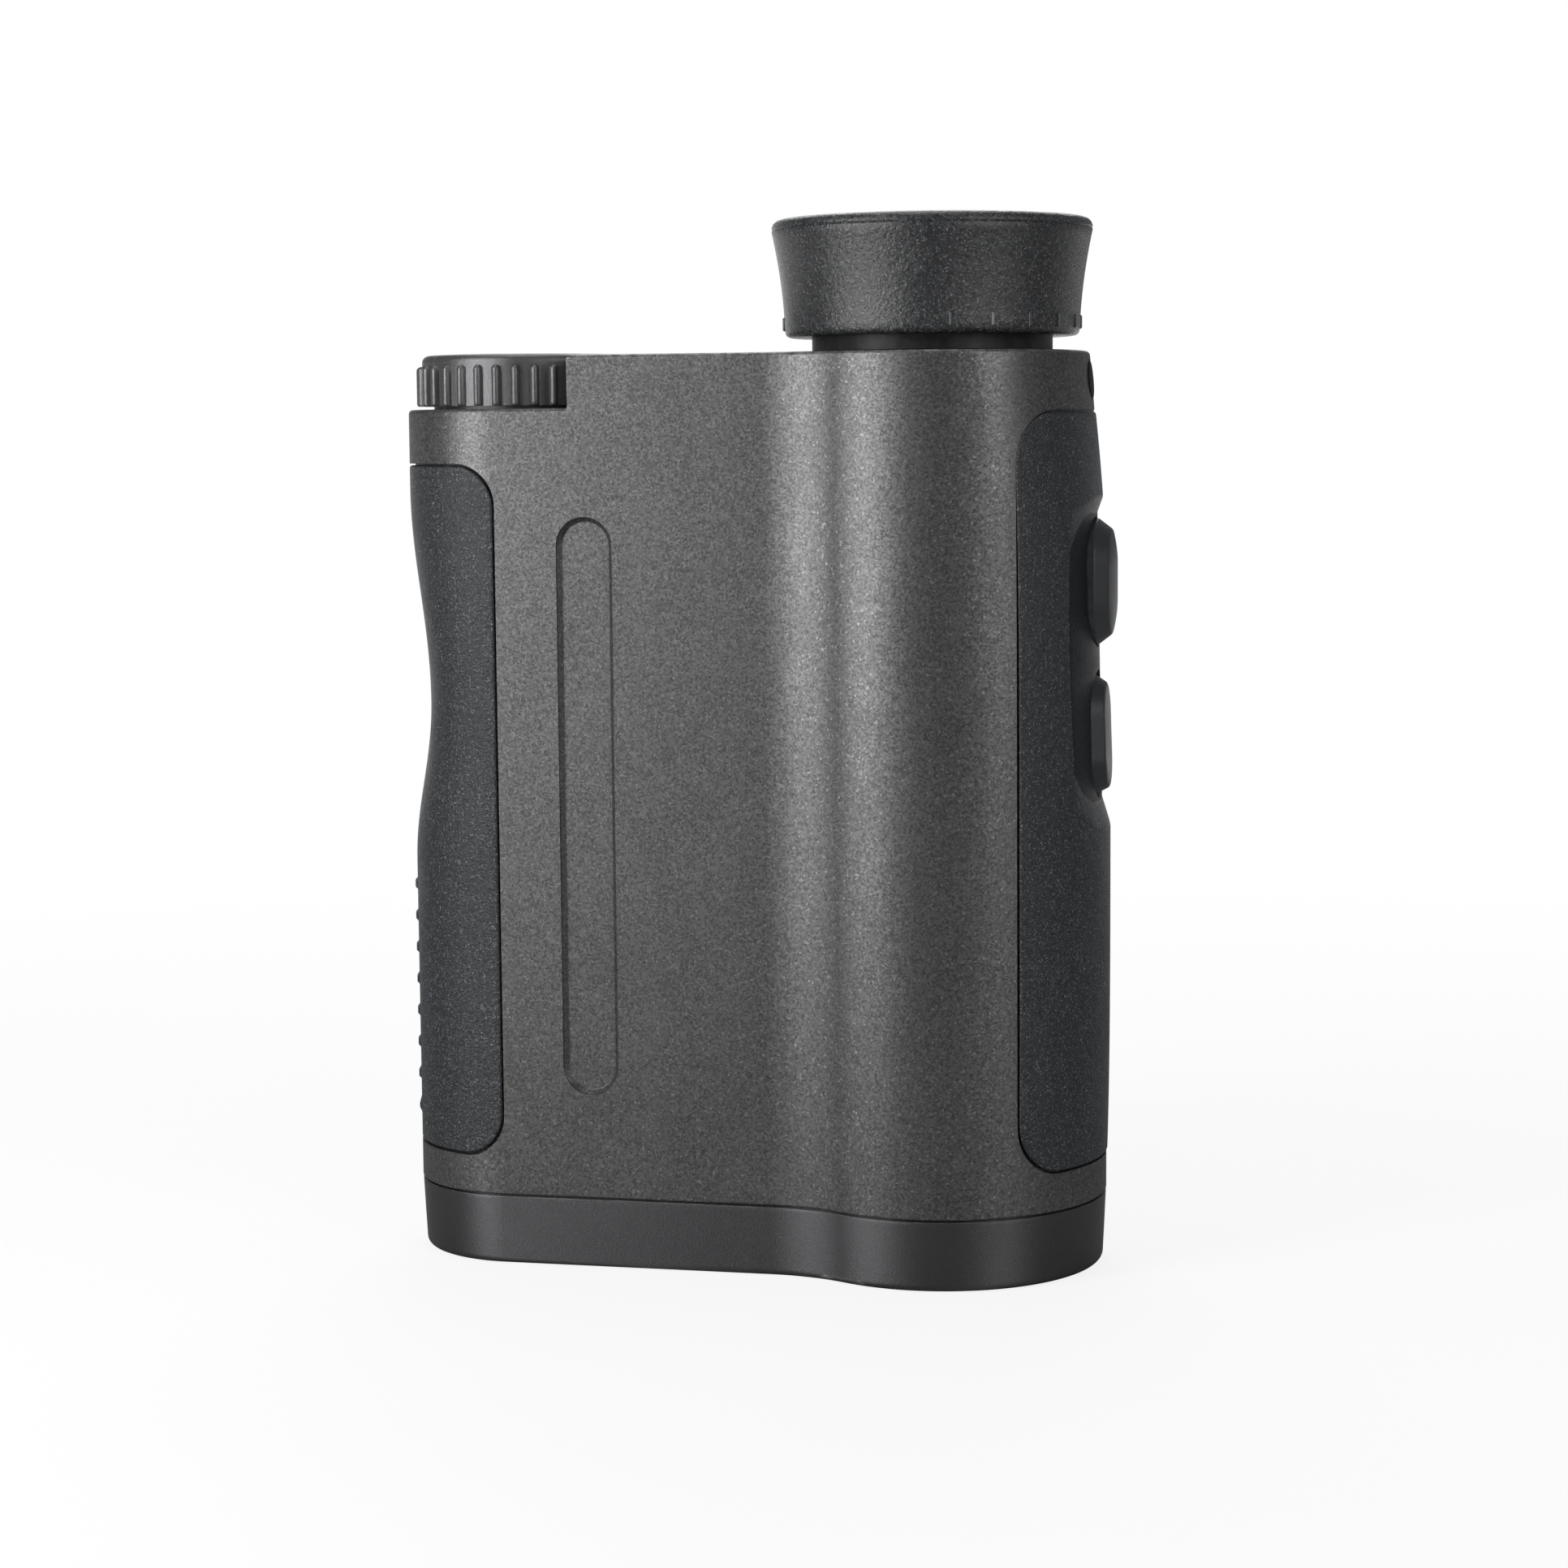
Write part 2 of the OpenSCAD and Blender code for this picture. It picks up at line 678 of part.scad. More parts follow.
cell_rise = 4;
cell_sink = 1.8;
land = 0.8;
lap = 0.1;
field_seat = 2.2;
field_t = 2.4;
eye_t = 3;
lens_ring_t = 1.8;
lens_air = 0.15;
lens_gap = 0.2;
cell_r_out = cell_bore - slip;
cell_foot = holder_top + cell_rise;
cell_head = tube_top - cell_sink;
field_z = cell_foot + field_seat;
eye_z = cell_head - lens_ring_t - lens_gap - eye_t;
module lens_cell() {
    key_len = 2 * key_r + 2 * focus_travel + loose;
    key_w = 2 * key_r + 2 * snug;
    color("#2a2a2a") on_eye() difference() {
        union() {
            ring(cell_r_out, eye_lens_r, cell_foot, cell_head);
            ring(eye_lens_r + lap, eye_lens_r - land, field_z + field_t + lens_air, eye_z - lens_air);
        }
        translate([-cell_r_out - over, -key_w / 2, key_z - key_len / 2]) cube([over + land, key_w, key_len]);
    }
}

// A lens turned about Z: r is its radius, t its edge, s0 and s1 the bulges below and above
module lens(r, t, s0, s1) {
    n = 10;
    low = [for (i = [0:n]) let (x = r * i / n) [x, -s0 * (1 - pow(x / r, 2))]];
    high = [for (i = [n:-1:0]) let (x = r * i / n) [x, t + s1 * (1 - pow(x / r, 2))]];
    rotate_extrude() polygon(concat(low, high));
}

strong_bulge = 0.9;
weak_bulge = 0.4;
module field_lens() {
    color("#9fb4bd") on_eye() translate([0, 0, field_z]) lens(eye_lens_r, field_t, strong_bulge, weak_bulge);
}
module eye_lens() {
    color("#9fb4bd") on_eye() translate([0, 0, eye_z]) lens(eye_lens_r, eye_t, weak_bulge, strong_bulge);
}
lens_ring_w = 0.9;
module eye_lens_retainer() {
    color("#303030") on_eye() ring(eye_lens_r, eye_lens_r - lens_ring_w, cell_head - lens_ring_t, cell_head);
}

// Battery cap: ribbed knob with a coin slot over a plug
rib_land = 1.2;
rib_root = 0.1;
cap_round = 0.7;
coin_w = 1.8;
coin_len = 15;
coin_depth = 1.4;
rivet_r = 1.5;
o_ring_r = 0.7;
o_ring_z = plug_z + plug_len / 2;
groove_air = 0.1;
module battery_cap() {
    color("#26282b") on_battery() difference() {
        union() {
            translate([0, 0, cap_z]) rotate_extrude() polygon([[0, 0], [cap_r, 0], [cap_r, cap_h - cap_round],
                [cap_r - 0.3 * cap_round, cap_h - 0.3 * cap_round], [cap_r - cap_round, cap_h], [0, cap_h]]);
            for (i = [0:rib_count - 1]) rotate([0, 0, 360 * i / rib_count])
                translate([cap_r - rib_root, 0, cap_z])
                    cylinder(r = rib_depth + rib_root, h = cap_h - rib_land);
            translate([0, 0, plug_z]) cylinder(r = plug_r, h = plug_len + rib_root);
            translate([0, 0, plug_z - contact_t + snug]) cylinder(r = rivet_r, h = contact_t);
        }
        translate([-coin_len / 2, -coin_w / 2, cap_z + cap_h - coin_depth])
            cube([coin_len, coin_w, over + coin_depth]);
        ring(plug_r + over, plug_r - 2 * o_ring_r,
            o_ring_z - o_ring_r - groove_air, o_ring_z + o_ring_r + groove_air);
    }
}

module cap_o_ring() {
    color("#101010") on_battery() translate([0, 0, o_ring_z]) rotate_extrude()
        translate([plug_r - o_ring_r, 0]) circle(o_ring_r - snug / 2);
}

contact_r = 5;
module cap_contact() {
    color("#c8a550") on_battery() ring(contact_r, rivet_r + slip, plug_z - contact_t, plug_z);
}

nub_h = 1.4;
nub_r = 3.2;
module battery() {
    color("#b9a23c") on_battery() union() {
        translate([0, 0, cell_z]) cylinder(r = cell_r, h = cell_len - nub_h);
        translate([0, 0, cell_z]) cylinder(r = nub_r, h = cell_len);
    }
}

tube_floor = 1.2;
tube_sink = 0.2;
module battery_tube() {
    color("#1c1c1c") on_battery() union() {
        ring(cell_tube_r, cell_r + cell_gap, tube_foot, plug_z - tube_sink);
        translate([0, 0, tube_foot]) cylinder(r = cell_tube_r, h = tube_floor);
    }
}

spring_foot_r = 6;
spring_low_r = 3.5;
spring_top_r = 1.8;
spring_t = 0.4;
module battery_contact() {
    foot = tube_foot + tube_floor;
    rise = cell_z - foot - tube_sink;
    color("#c8c8c8") on_battery() translate([0, 0, foot]) rotate_extrude() polygon([[0, 0],
        [spring_foot_r, 0], [spring_foot_r, spring_t], [spring_low_r, 1.25 * spring_t], [spring_top_r, rise],
        [0, rise]]);
}

// Objective side
gasket_t = 0.4;
gasket_in = 0.2;
barrel_z = bezel_wall + gasket_t;
front_ring_t = 1.2;
glass_z = barrel_z + front_ring_t + 0.5 * gasket_t;
front_t = 3;
front_bulge = 0.7;
front_back = 0.9;
doublet_air = 0.05;
rear_t = 4.9;
rear_bulge = 0.5;
seat_w = 1;
seat_t = 1.5;
stop_r = 9.5;
rear_z = glass_z + front_t + doublet_air;
objective_seat_z = rear_z + rear_t + 3 * doublet_air;
module objective_gasket() {
    color("#141414") on_eye() ring(barrel_r, objective_r + gasket_in, bezel_wall, barrel_z);
}
module objective_cell() {
    color("#2a2a2a") on_eye() union() {
        ring(barrel_r, objective_r, barrel_z, bulkhead_z);
        ring(objective_r + lap, objective_r - seat_w, objective_seat_z, objective_seat_z + seat_t);
        ring(objective_r + lap, stop_r, bulkhead_z - seat_t, bulkhead_z);
    }
}
module objective_retainer() {
    color("#303030") on_eye() ring(objective_r, objective_r - lens_ring_w, barrel_z, barrel_z + front_ring_t);
}
module objective_front_element() {
    color("#7f93a8") on_eye() translate([0, 0, glass_z]) lens(objective_r, front_t, front_bulge, front_back);
}
module objective_rear_element() {
    color("#7f93a8") on_eye() translate([0, 0, rear_z])
        lens(objective_r, rear_t, -front_back - doublet_air, rear_bulge);
}

// Laser side
laser_t = 4.2;
laser_seat_z = glass_z + laser_t + 4 * doublet_air;
laser_seat_t = 1.2;
laser_board_t = 2;
laser_board_gap = 0.2;
diode_ring_t = 1.8;
diode_r = 2.2;
diode_len = 4;
diode_flange_r = 2.8;
diode_flange_t = 1.2;
diode_ring_in = 3.2;
diode_ring_z = bulkhead_z - laser_board_t - diode_flange_t - diode_ring_t;
module laser_gasket() {
    color("#141414") on_battery() ring(laser_barrel_r, laser_r + gasket_in, bezel_wall, barrel_z);
}
module laser_barrel() {
    color("#2a2a2a") on_battery() union() {
        ring(laser_barrel_r, laser_r, barrel_z, bulkhead_z);
        ring(laser_r + lap, laser_r - seat_w, laser_seat_z, laser_seat_z + laser_seat_t);
        ring(laser_r + lap, diode_ring_in, diode_ring_z, diode_ring_z + diode_ring_t);
    }
}
module laser_retainer() {
    color("#303030") on_battery() ring(laser_r, laser_r - lens_ring_w, barrel_z, barrel_z + front_ring_t);
}
module laser_lens() {
    color("#6d5f9a") on_battery() translate([0, 0, glass_z]) lens(laser_r, laser_t, front_bulge, rear_bulge);
}
module laser_diode() {
    color("#b89b4a") on_battery() translate([0, 0, bulkhead_z - laser_board_t]) union() {
        translate([0, 0, -diode_flange_t]) cylinder(r = diode_flange_r, h = diode_flange_t);
        translate([0, 0, -diode_len - laser_seat_t + lap]) cylinder(r = diode_r, h = diode_len);
    }
}
module laser_board() {
    color("#1f5a3a") on_battery() translate([0, 0, bulkhead_z - laser_board_t])
        cylinder(r = laser_r - laser_board_gap, h = laser_board_t);
}

// Bulkhead between the front optics and the prism space, with slots for the boards
board_y = 0.6;
board_gap = 0.1;
board_clear = 3;
board_set = 1.3;
board_x0 = bat_x + laser_barrel_r + board_clear;
board_x1 = eye_x - barrel_r - board_set;
view_r = 9;
wire_r = 4;
head_r = 1.9;
head_h = 1.4;
thread_len = 6.5;
module board_slot(z) {
    translate([board_x0 - board_gap, -board_y - board_gap, z])
        cube([board_x1 - board_x0 + 2 * board_gap, 2 * (board_y + board_gap), board_foot + board_gap]);
}
module bulkhead() {
    color("#55575a") difference() {
        slab(wall + loose, bulkhead_z, bulkhead_top);
        on_eye() translate([0, 0, bulkhead_z - over]) cylinder(r = view_r, h = far);
        on_battery() translate([0, 0, bulkhead_z - over]) cylinder(r = wire_r, h = far);
        bosses(bulkhead_z - over, bulkhead_top + over, screw_r + board_gap);
        board_slot(bulkhead_z - board_gap);
        board_slot(bulkhead_top - board_foot);
        translate([button_board_x - board_gap, -button_board_w / 2 - board_gap, bulkhead_top - board_foot])
            cube([board_t + 2 * board_gap, button_board_w + 2 * board_gap, far]);
    }
}
module bulkhead_screws() {
    color("#8d8f92") union() {
        bosses(bulkhead_z - head_h, bulkhead_z, head_r);
        bosses(bulkhead_z - lap, bulkhead_top + thread_len, screw_r - snug);
    }
}

// Prism assembly
prism_half = 8;
prism_d = 16;
plate_t = 2;
cheek_t = 1.8;
cheek_w = 12;
holder_bore = 7.5;
holder_gap = 0.2;
cut_low = 7.4;
cut_high = 19.4;
cut_air = 0.3;
roof_chamfer = 4;
holder_r = button_board_x - eye_x - holder_gap;
prism_low = bulkhead_top + plate_t;
prism_high = holder_top - plate_t;
module prism(points) {
    translate([eye_x, prism_d / 2, 0]) rotate([90, 0, 0]) linear_extrude(prism_d) polygon(points);
}
module prism_holder() {
    color("#46484b") on_eye() union() {
        ring(holder_r, holder_bore, bulkhead_top, prism_low);
        ring(holder_r, holder_bore, prism_high, holder_top);
        for (s = [-1, 1])
            translate([-cheek_w / 2, s > 0 ? prism_d / 2 : -prism_d / 2 - cheek_t, bulkhead_top])
                cube([cheek_w, cheek_t, prism_space]);
    }
}
module half_prism() {
    color("#a9c0c8") prism([[-prism_half, prism_low], [prism_half, prism_low],
        [prism_half, prism_low + cut_low], [-prism_half, prism_low + cut_high]]);
}
module roof_prism() {
    color("#a9c0c8") prism([[prism_half, prism_low + cut_low + cut_air], [prism_half, prism_high],
        [-prism_half + roof_chamfer, prism_high], [-prism_half, prism_high - roof_chamfer],
        [-prism_half, prism_low + cut_high + cut_air]]);
}
display_w = 8;
display_h = 6;
display_drop = 11;
module display_module() {
    color("#3a2020") translate([board_x1, -display_w / 2, prism_high - display_drop])
        cube([eye_x - prism_half - board_x1, display_w, display_h]);
}
sensor_r = 2.7;
sensor_rise = 9;
module receiver_sensor() {
    color("#b0b2b5") translate([board_x1, 0, prism_low + sensor_rise]) rotate([0, 90, 0])
        cylinder(r = sensor_r, h = eye_x - prism_half - board_x1);
}

// Boards in the space between the lobes
board_rise = 8;
board_drop = 1;
board_top = bat_deck_z - board_drop;
board_low = bezel_wall + board_rise;
board_root = board_foot - board_gap;
module display_board() {
    color("#1f5a3a") translate([board_x0, -board_y, bulkhead_top - board_root])
        cube([board_x1 - board_x0, 2 * board_y, board_top - bulkhead_top + board_root]);
}
module main_board() {
    color("#1f5a3a") translate([board_x0, -board_y, board_low])
        cube([board_x1 - board_x0, 2 * board_y, bulkhead_z + board_root - board_low]);
}
chip_w = 10;
chip_t = 1.2;
module chip(across, up, w, h, side) {
    translate([(board_x0 + board_x1) / 2 + across - w / 2, side > 0 ? board_y : -board_y - chip_t, up])
        cube([w, chip_t, h]);
}
module board_chips() {
    run = bulkhead_z - board_low;
    color("#161616") union() {
        chip(0, board_low + run * 0.5, chip_w, run * 0.32, -1);
        chip(0, board_low + run * 0.2, chip_w * 0.6, run * 0.25, 1);
        chip(-chip_w * 0.4, board_low + run * 0.1, chip_w * 0.4, run * 0.2, -1);
        chip(0, bulkhead_top + chip_w, chip_w * 0.8, chip_w * 0.8, 1);
    }
}
strip_w = 5;
strip_t = 0.5;
strip_drop = 14;
strip_gap = 0.02;
module power_strip() {
    x0 = bat_x + cell_tube_r + strip_gap;
    color("#b5762c") translate([x0, -strip_w / 2, board_top - strip_drop])
        cube([board_x0 - x0, strip_w, strip_t]);
}

main_housing();
front_bezel();
bezel_gasket();
left_grip();
right_grip();
side_badge();
main_button();
second_button();
switch_bodies();
main_switch_plunger();
second_switch_plunger();
button_board();
eyepiece_tube();
dioptre_drum();
drum_retainer();
eyecup();
lens_cell();
cell_key_pin();
field_lens();
eye_lens();
eye_lens_retainer();
battery_cap();
cap_o_ring();
cap_contact();
battery();
battery_tube();
battery_contact();
objective_gasket();
objective_cell();
objective_retainer();
objective_front_element();
objective_rear_element();
laser_gasket();
laser_barrel();
laser_retainer();
laser_lens();
laser_diode();
laser_board();
bulkhead();
bulkhead_screws();
prism_holder();
half_prism();
roof_prism();
display_module();
receiver_sensor();
display_board();
main_board();
board_chips();
power_strip();
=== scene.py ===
# %% [markdown]
# # A pocket laser rangefinder
# The object is a small one-eyed telescope that measures distance with a laser. Its painted
# housing has two lobes: the battery and the laser sit in the slim one, the telescope in the
# wide one. The CAD model already holds every piece at its true size. This lesson keeps that
# frame and gives each visible piece a finer mesh and a finish. Everything is built in
# millimetres, as on a drawing, and turned into metres when a mesh is made.

import json
import math

import bmesh
import bpy
from mathutils import Matrix, Vector


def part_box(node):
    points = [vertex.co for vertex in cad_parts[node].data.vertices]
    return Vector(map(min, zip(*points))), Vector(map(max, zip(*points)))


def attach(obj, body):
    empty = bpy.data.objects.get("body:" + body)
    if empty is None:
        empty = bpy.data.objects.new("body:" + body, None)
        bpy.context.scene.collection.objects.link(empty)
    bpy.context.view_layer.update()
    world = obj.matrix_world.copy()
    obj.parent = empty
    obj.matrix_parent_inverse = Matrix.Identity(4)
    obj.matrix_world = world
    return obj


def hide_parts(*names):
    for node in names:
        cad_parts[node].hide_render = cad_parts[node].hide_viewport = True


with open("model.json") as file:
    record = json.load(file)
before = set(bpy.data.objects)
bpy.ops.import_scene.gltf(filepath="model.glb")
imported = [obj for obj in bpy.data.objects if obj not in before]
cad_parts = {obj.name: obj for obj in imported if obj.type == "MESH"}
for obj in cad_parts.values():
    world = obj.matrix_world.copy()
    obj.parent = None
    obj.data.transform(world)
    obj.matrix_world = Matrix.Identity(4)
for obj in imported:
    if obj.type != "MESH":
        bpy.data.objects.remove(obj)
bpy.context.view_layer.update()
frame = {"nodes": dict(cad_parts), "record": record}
mm = 0.001
scene = bpy.context.scene

# %% [markdown]
# ## Camera
# The photograph was taken with a long lens, a little above the middle of the object and a
# little to its button side. A camera could be placed by eye. Here its place comes from
# fitting the known edges of the object, so the three axes below are measured directions.

# %% Place the camera
camera_data = bpy.data.cameras.new("photo_camera")
camera_data.sensor_width = 36
camera_data.lens = 78.777
camera = bpy.data.objects.new("photo_camera", camera_data)
scene.collection.objects.link(camera)
look_right = Vector((0.98032, 0.19724, -0.00840))
look_up = Vector((-0.01203, 0.10214, 0.99470))
look_ahead = Vector((-0.19705, 0.97502, -0.10250))
stand = Matrix((look_right, look_up, -look_ahead)).transposed().to_4x4()
stand.translation = Vector((73.83, -352.95, 86.94)) * mm
camera.matrix_world = stand
scene.camera = camera
scene.view_settings.view_transform = "Standard"
print("camera distance in mm:", round(stand.translation.length / mm))

# %% [markdown]
# ## Small tools for node trees
# A finish is a tree of nodes. A few short helpers keep the trees readable. A socket is given
# by its name or place and takes a value, a node, or a pair of node and output; the last two
# make a link.


# %% Node helpers
def join(tree, source, output, target, socket):
    """Link one output to one input."""
    tree.links.new(source.outputs[output], target.inputs[socket])


def add_node(tree, kind, sockets=None, **settings):
    """A new node with its settings and its socket values or links."""
    made = tree.nodes.new("ShaderNode" + kind)
    for name, value in settings.items():
        setattr(made, name, value)
    for name, value in (sockets or {}).items():
        if isinstance(value, bpy.types.Node):
            join(tree, value, 0, made, name)
        elif isinstance(value, tuple) and isinstance(value[0], bpy.types.Node):
            join(tree, *value, made, name)
        else:
            made.inputs[name].default_value = value
    return made


def maths(tree, operation, *values):
    """One step of arithmetic on numbers."""
    return add_node(tree, "Math", dict(enumerate(values)), operation=operation)


def vectors(tree, operation, *values):
    """One step of arithmetic on vectors."""
    return add_node(tree, "VectorMath", dict(enumerate(values)), operation=operation)


def remap(tree, source, low, high, to_low=0.0, to_high=1.0):
    """A value moved from one range to another."""
    ends = {"From Min": low, "From Max": high, "To Min": to_low, "To Max": to_high}
    return add_node(tree, "MapRange", {"Value": source, **ends})


def noise(tree, where, scale, **sockets):
    """A noise in the object's own coordinates."""
    return add_node(tree, "TexNoise", {"Vector": (where, "Object"), "Scale": scale, **sockets})


def blend_colours(tree, mask, first, second):
    """A colour that goes from the first to the second as the mask rises; either may be a node."""
    mix = add_node(tree, "Mix", {0: mask}, data_type="RGBA")
    for place, colour in ((6, first), (7, second)):
        if isinstance(colour, tuple):
            mix.inputs[place].default_value = (*colour, 1)
        else:
            join(tree, colour, 2, mix, place)
    return mix


# %% [markdown]
# ## Studio
# The photograph has a plain white ground behind the object, a dim room on the photographer's
# side, and two tall soft lamps: a strong one close by at the left and a weaker one at the
# right. The painted housing shows them as soft upright bands. A lamp overhead and one behind
# lift the top and the back. The white ground is not made with more light: camera and
# transmission rays see a white world, and so do glossy rays that leave towards the back. The
# floor mixes real shading into its white, so it takes a shadow.


# %% World
far_side = Vector((-0.35, 0.937, 0))


def white_rays(tree, coordinates, near, far):
    """1 for rays that should see the white ground; reflections see it on the far side only."""
    path = add_node(tree, "LightPath")
    where = add_node(tree, "TexCoord")
    depth = vectors(tree, "DOT_PRODUCT", (where, coordinates), far_side)
    behind = remap(tree, (depth, "Value"), near, far)
    mirrored = maths(tree, "MULTIPLY", (path, "Is Glossy Ray"), behind)
    seen = maths(tree, "MAXIMUM", (path, "Is Camera Ray"), (path, "Is Transmission Ray"))
    return maths(tree, "MAXIMUM", seen, mirrored)


world = bpy.data.worlds.new("studio_world")
scene.world = world
world.use_nodes = True
tree = world.node_tree
tree.nodes.clear()
dim_room = add_node(tree, "Background", {"Color": (0.95, 0.97, 1, 1), "Strength": 0.2})
white_ground = add_node(tree, "Background", {"Color": (1, 1, 1, 1), "Strength": 1})
share = white_rays(tree, "Generated", near=0.94, far=1.0)
choose = add_node(tree, "MixShader", {0: share, 1: dim_room, 2: white_ground})
add_node(tree, "OutputWorld", {"Surface": choose})
print("world ready")

# %% Floor
floor_sides, floor_radii, floor_drop = 48, (0.4, 2.5), 0.00002
floor_mesh = bpy.data.meshes.new("studio_floor")
form = bmesh.new()
turns = [math.tau * i / floor_sides for i in range(floor_sides)]
spots = [[(r * math.cos(a), r * math.sin(a), 0) for a in turns] for r in floor_radii]
inner, outer = [[form.verts.new(spot) for spot in ring] for ring in spots]
form.faces.new(inner)
for i in range(floor_sides):
    j = (i + 1) % floor_sides
    form.faces.new((inner[i], outer[i], outer[j], inner[j]))
form.to_mesh(floor_mesh)
form.free()
floor = bpy.data.objects.new("studio_floor", floor_mesh)
floor.location.z = -floor_drop
scene.collection.objects.link(floor)
print("floor sides:", floor_sides)

# %% [markdown]
# The floor is white cloth. Near the object about a seventh of what the camera sees is real
# shading, enough for a soft shadow; further out it turns into the white ground, so no horizon
# shows. In the housing's reflections it is dim in front, as it is in the photograph.

# %% Floor finish
floor_finish = bpy.data.materials.new("pale_floor")
floor_finish.use_nodes = True
tree = floor_finish.node_tree
tree.nodes.clear()
path = add_node(tree, "LightPath")
where = add_node(tree, "TexCoord")
distance = vectors(tree, "LENGTH", (where, "Object"))
plain = remap(tree, (distance, "Value"), low=0.08, high=0.32, to_low=0.85)
share = maths(tree, "MULTIPLY", white_rays(tree, "Object", near=0.2, far=0.6), plain)
weave = noise(tree, where, 900.0, Detail=2.0)
cloth = blend_colours(tree, weave, (0.88, 0.88, 0.88), (0.92, 0.92, 0.92))
dimmed = blend_colours(tree, (path, "Is Glossy Ray"), cloth, (0.26, 0.26, 0.26))
matt = add_node(tree, "BsdfDiffuse", {"Color": (dimmed, 2)})
glow = add_node(tree, "Emission", {"Color": (1, 1, 1, 1), "Strength": 1})
choose = add_node(tree, "MixShader", {0: share, 1: matt, 2: glow})
add_node(tree, "OutputMaterial", {"Surface": choose})
floor_mesh.materials.append(floor_finish)
print("floor ready")


# %% Lamps
def soft_box(name, place, aim, size, watts):
    """A lamp at a place, turned towards a point, both in mm; its two sides are in metres."""
    data = bpy.data.lights.new(name, "AREA")
    data.shape = "RECTANGLE"
    data.size, data.size_y = size
    data.energy = watts
    lamp = bpy.data.objects.new(name, data)
    lamp.location = Vector(place) * mm
    lamp.rotation_mode = "QUATERNION"
    lamp.rotation_quaternion = (Vector(aim) * mm - lamp.location).to_track_quat("-Z", "Y")
    scene.collection.objects.link(lamp)
    lamp.visible_camera = False


soft_box("left_softbox", place=(-170, -200, 130), aim=(0, 0, 70), size=(0.1, 0.24), watts=0.56)
soft_box("right_softbox", place=(700, -547, 290), aim=(10, 0, 60), size=(0.2, 0.55), watts=2.0)
soft_box("top_softbox", place=(-60, 80, 900), aim=(0, 0, 60), size=(0.5, 0.5), watts=1.8)
soft_box("back_softbox", place=(-60, 420, 430), aim=(0, 0, 60), size=(0.35, 0.35), watts=1.2)
print("lamps:", len(bpy.data.lights))

# %% [markdown]
# ## Shared surface effects
# Real moulded and painted parts share a few effects: a fine moulded grain, sparkling flakes
# in lacquer, paler edges where hands rub, and faint marks from handling. Each one is a node
# group, built once and placed in every finish that needs it, with its own numbers. A group
# only gives out values, masks and normals; the shader itself stays in the material.


# %% Start and end a group
def start_group(name, inputs, outputs):
    """An empty node group with number inputs and typed outputs."""
    group = bpy.data.node_groups.new(name, "ShaderNodeTree")
    for label, value in inputs.items():
        socket = group.interface.new_socket(label, in_out="INPUT", socket_type="NodeSocketFloat")
        socket.default_value = value
    for label, kind in outputs.items():
        group.interface.new_socket(label, in_out="OUTPUT", socket_type="NodeSocket" + kind)
    return group, group.nodes.new("NodeGroupInput"), group.nodes.new("NodeGroupOutput")


def end_group(group, outs, **results):
    """Link the results, nodes or pairs of node and output, to the outputs of those names."""
    for name, result in results.items():
        source, output = result if isinstance(result, tuple) else (result, 0)
        join(group, source, output, outs, name)
    print("group:", group.name)
    return group


# %% [markdown]
# ### Moulded grain
# Rubber and plastic copy the texture that was etched into the mould. A photograph of the
# grain could be used; a noise with a cell pattern gives the same leathery look at any scale.

# %% Moulded grain
group, ins, outs = start_group(
    "moulded_grain", {"Grains per Metre": 3000.0}, {"Height": "Float", "Speckle": "Float", "Tone": "Float"}
)
where = add_node(group, "TexCoord")
finer = maths(group, "MULTIPLY", ins, 2.1)
cells = add_node(group, "TexVoronoi", {"Vector": (where, "Object"), "Scale": ins}, feature="SMOOTH_F1")
fine = noise(group, where, finer, Detail=3.0, Roughness=0.6)
tips = noise(group, where, finer, Detail=1.0)
halved = maths(group, "MULTIPLY", (cells, "Distance"), 0.5)
height = maths(group, "ADD", halved, fine)
speckle = remap(group, tips, 0.6, 0.76)
broad = noise(group, where, 90.0, Detail=2.0)
grain_group = end_group(group, outs, Height=height, Speckle=speckle, Tone=broad)

# %% [markdown]
# ### Lacquer flakes
# The housing paint holds tiny aluminium flakes that lie at slightly different angles. Each
# cell of a Voronoi pattern stands for one flake: its random colour tilts the surface normal,
# and its random brightness makes some flakes shine more than others.

# %% Lacquer flakes
group, ins, outs = start_group(
    "lacquer_flakes",
    {"Flakes per Metre": 5000.0, "Tilt": 0.1},
    {"Normal": "Vector", "Flake": "Float", "Glint": "Float", "Tone": "Float"},
)
where = add_node(group, "TexCoord")
surface = add_node(group, "NewGeometry")
spots = {"Vector": (where, "Object"), "Scale": (ins, "Flakes per Metre")}
flakes = add_node(group, "TexVoronoi", spots, feature="F1")
centred = vectors(group, "SUBTRACT", (flakes, "Color"), (0.5, 0.5, 0.5))
lean = add_node(group, "VectorMath", {0: centred, "Scale": (ins, "Tilt")}, operation="SCALE")
tilted = vectors(group, "ADD", (surface, "Normal"), lean)
unit = vectors(group, "NORMALIZE", tilted)
parts = add_node(group, "SeparateColor", {0: (flakes, "Color")})
glint = remap(group, parts, 0.93, 1.0)
broad = noise(group, where, 70.0, Detail=3.0)
flake_group = end_group(group, outs, Normal=unit, Flake=(parts, 1), Glint=glint, Tone=broad)

# %% [markdown]
# ### Rubbed edges and handling marks
# Hands polish the outer edges of a part and leave faint smears on its faces. The mesh knows
# where it is convex (Pointiness), and a noise breaks the wear up so it does not look drawn.
# On the housing the wear sits along the deck's rounded rim, so its own group goes by height.
# Both leave out level faces, where nothing rubs.

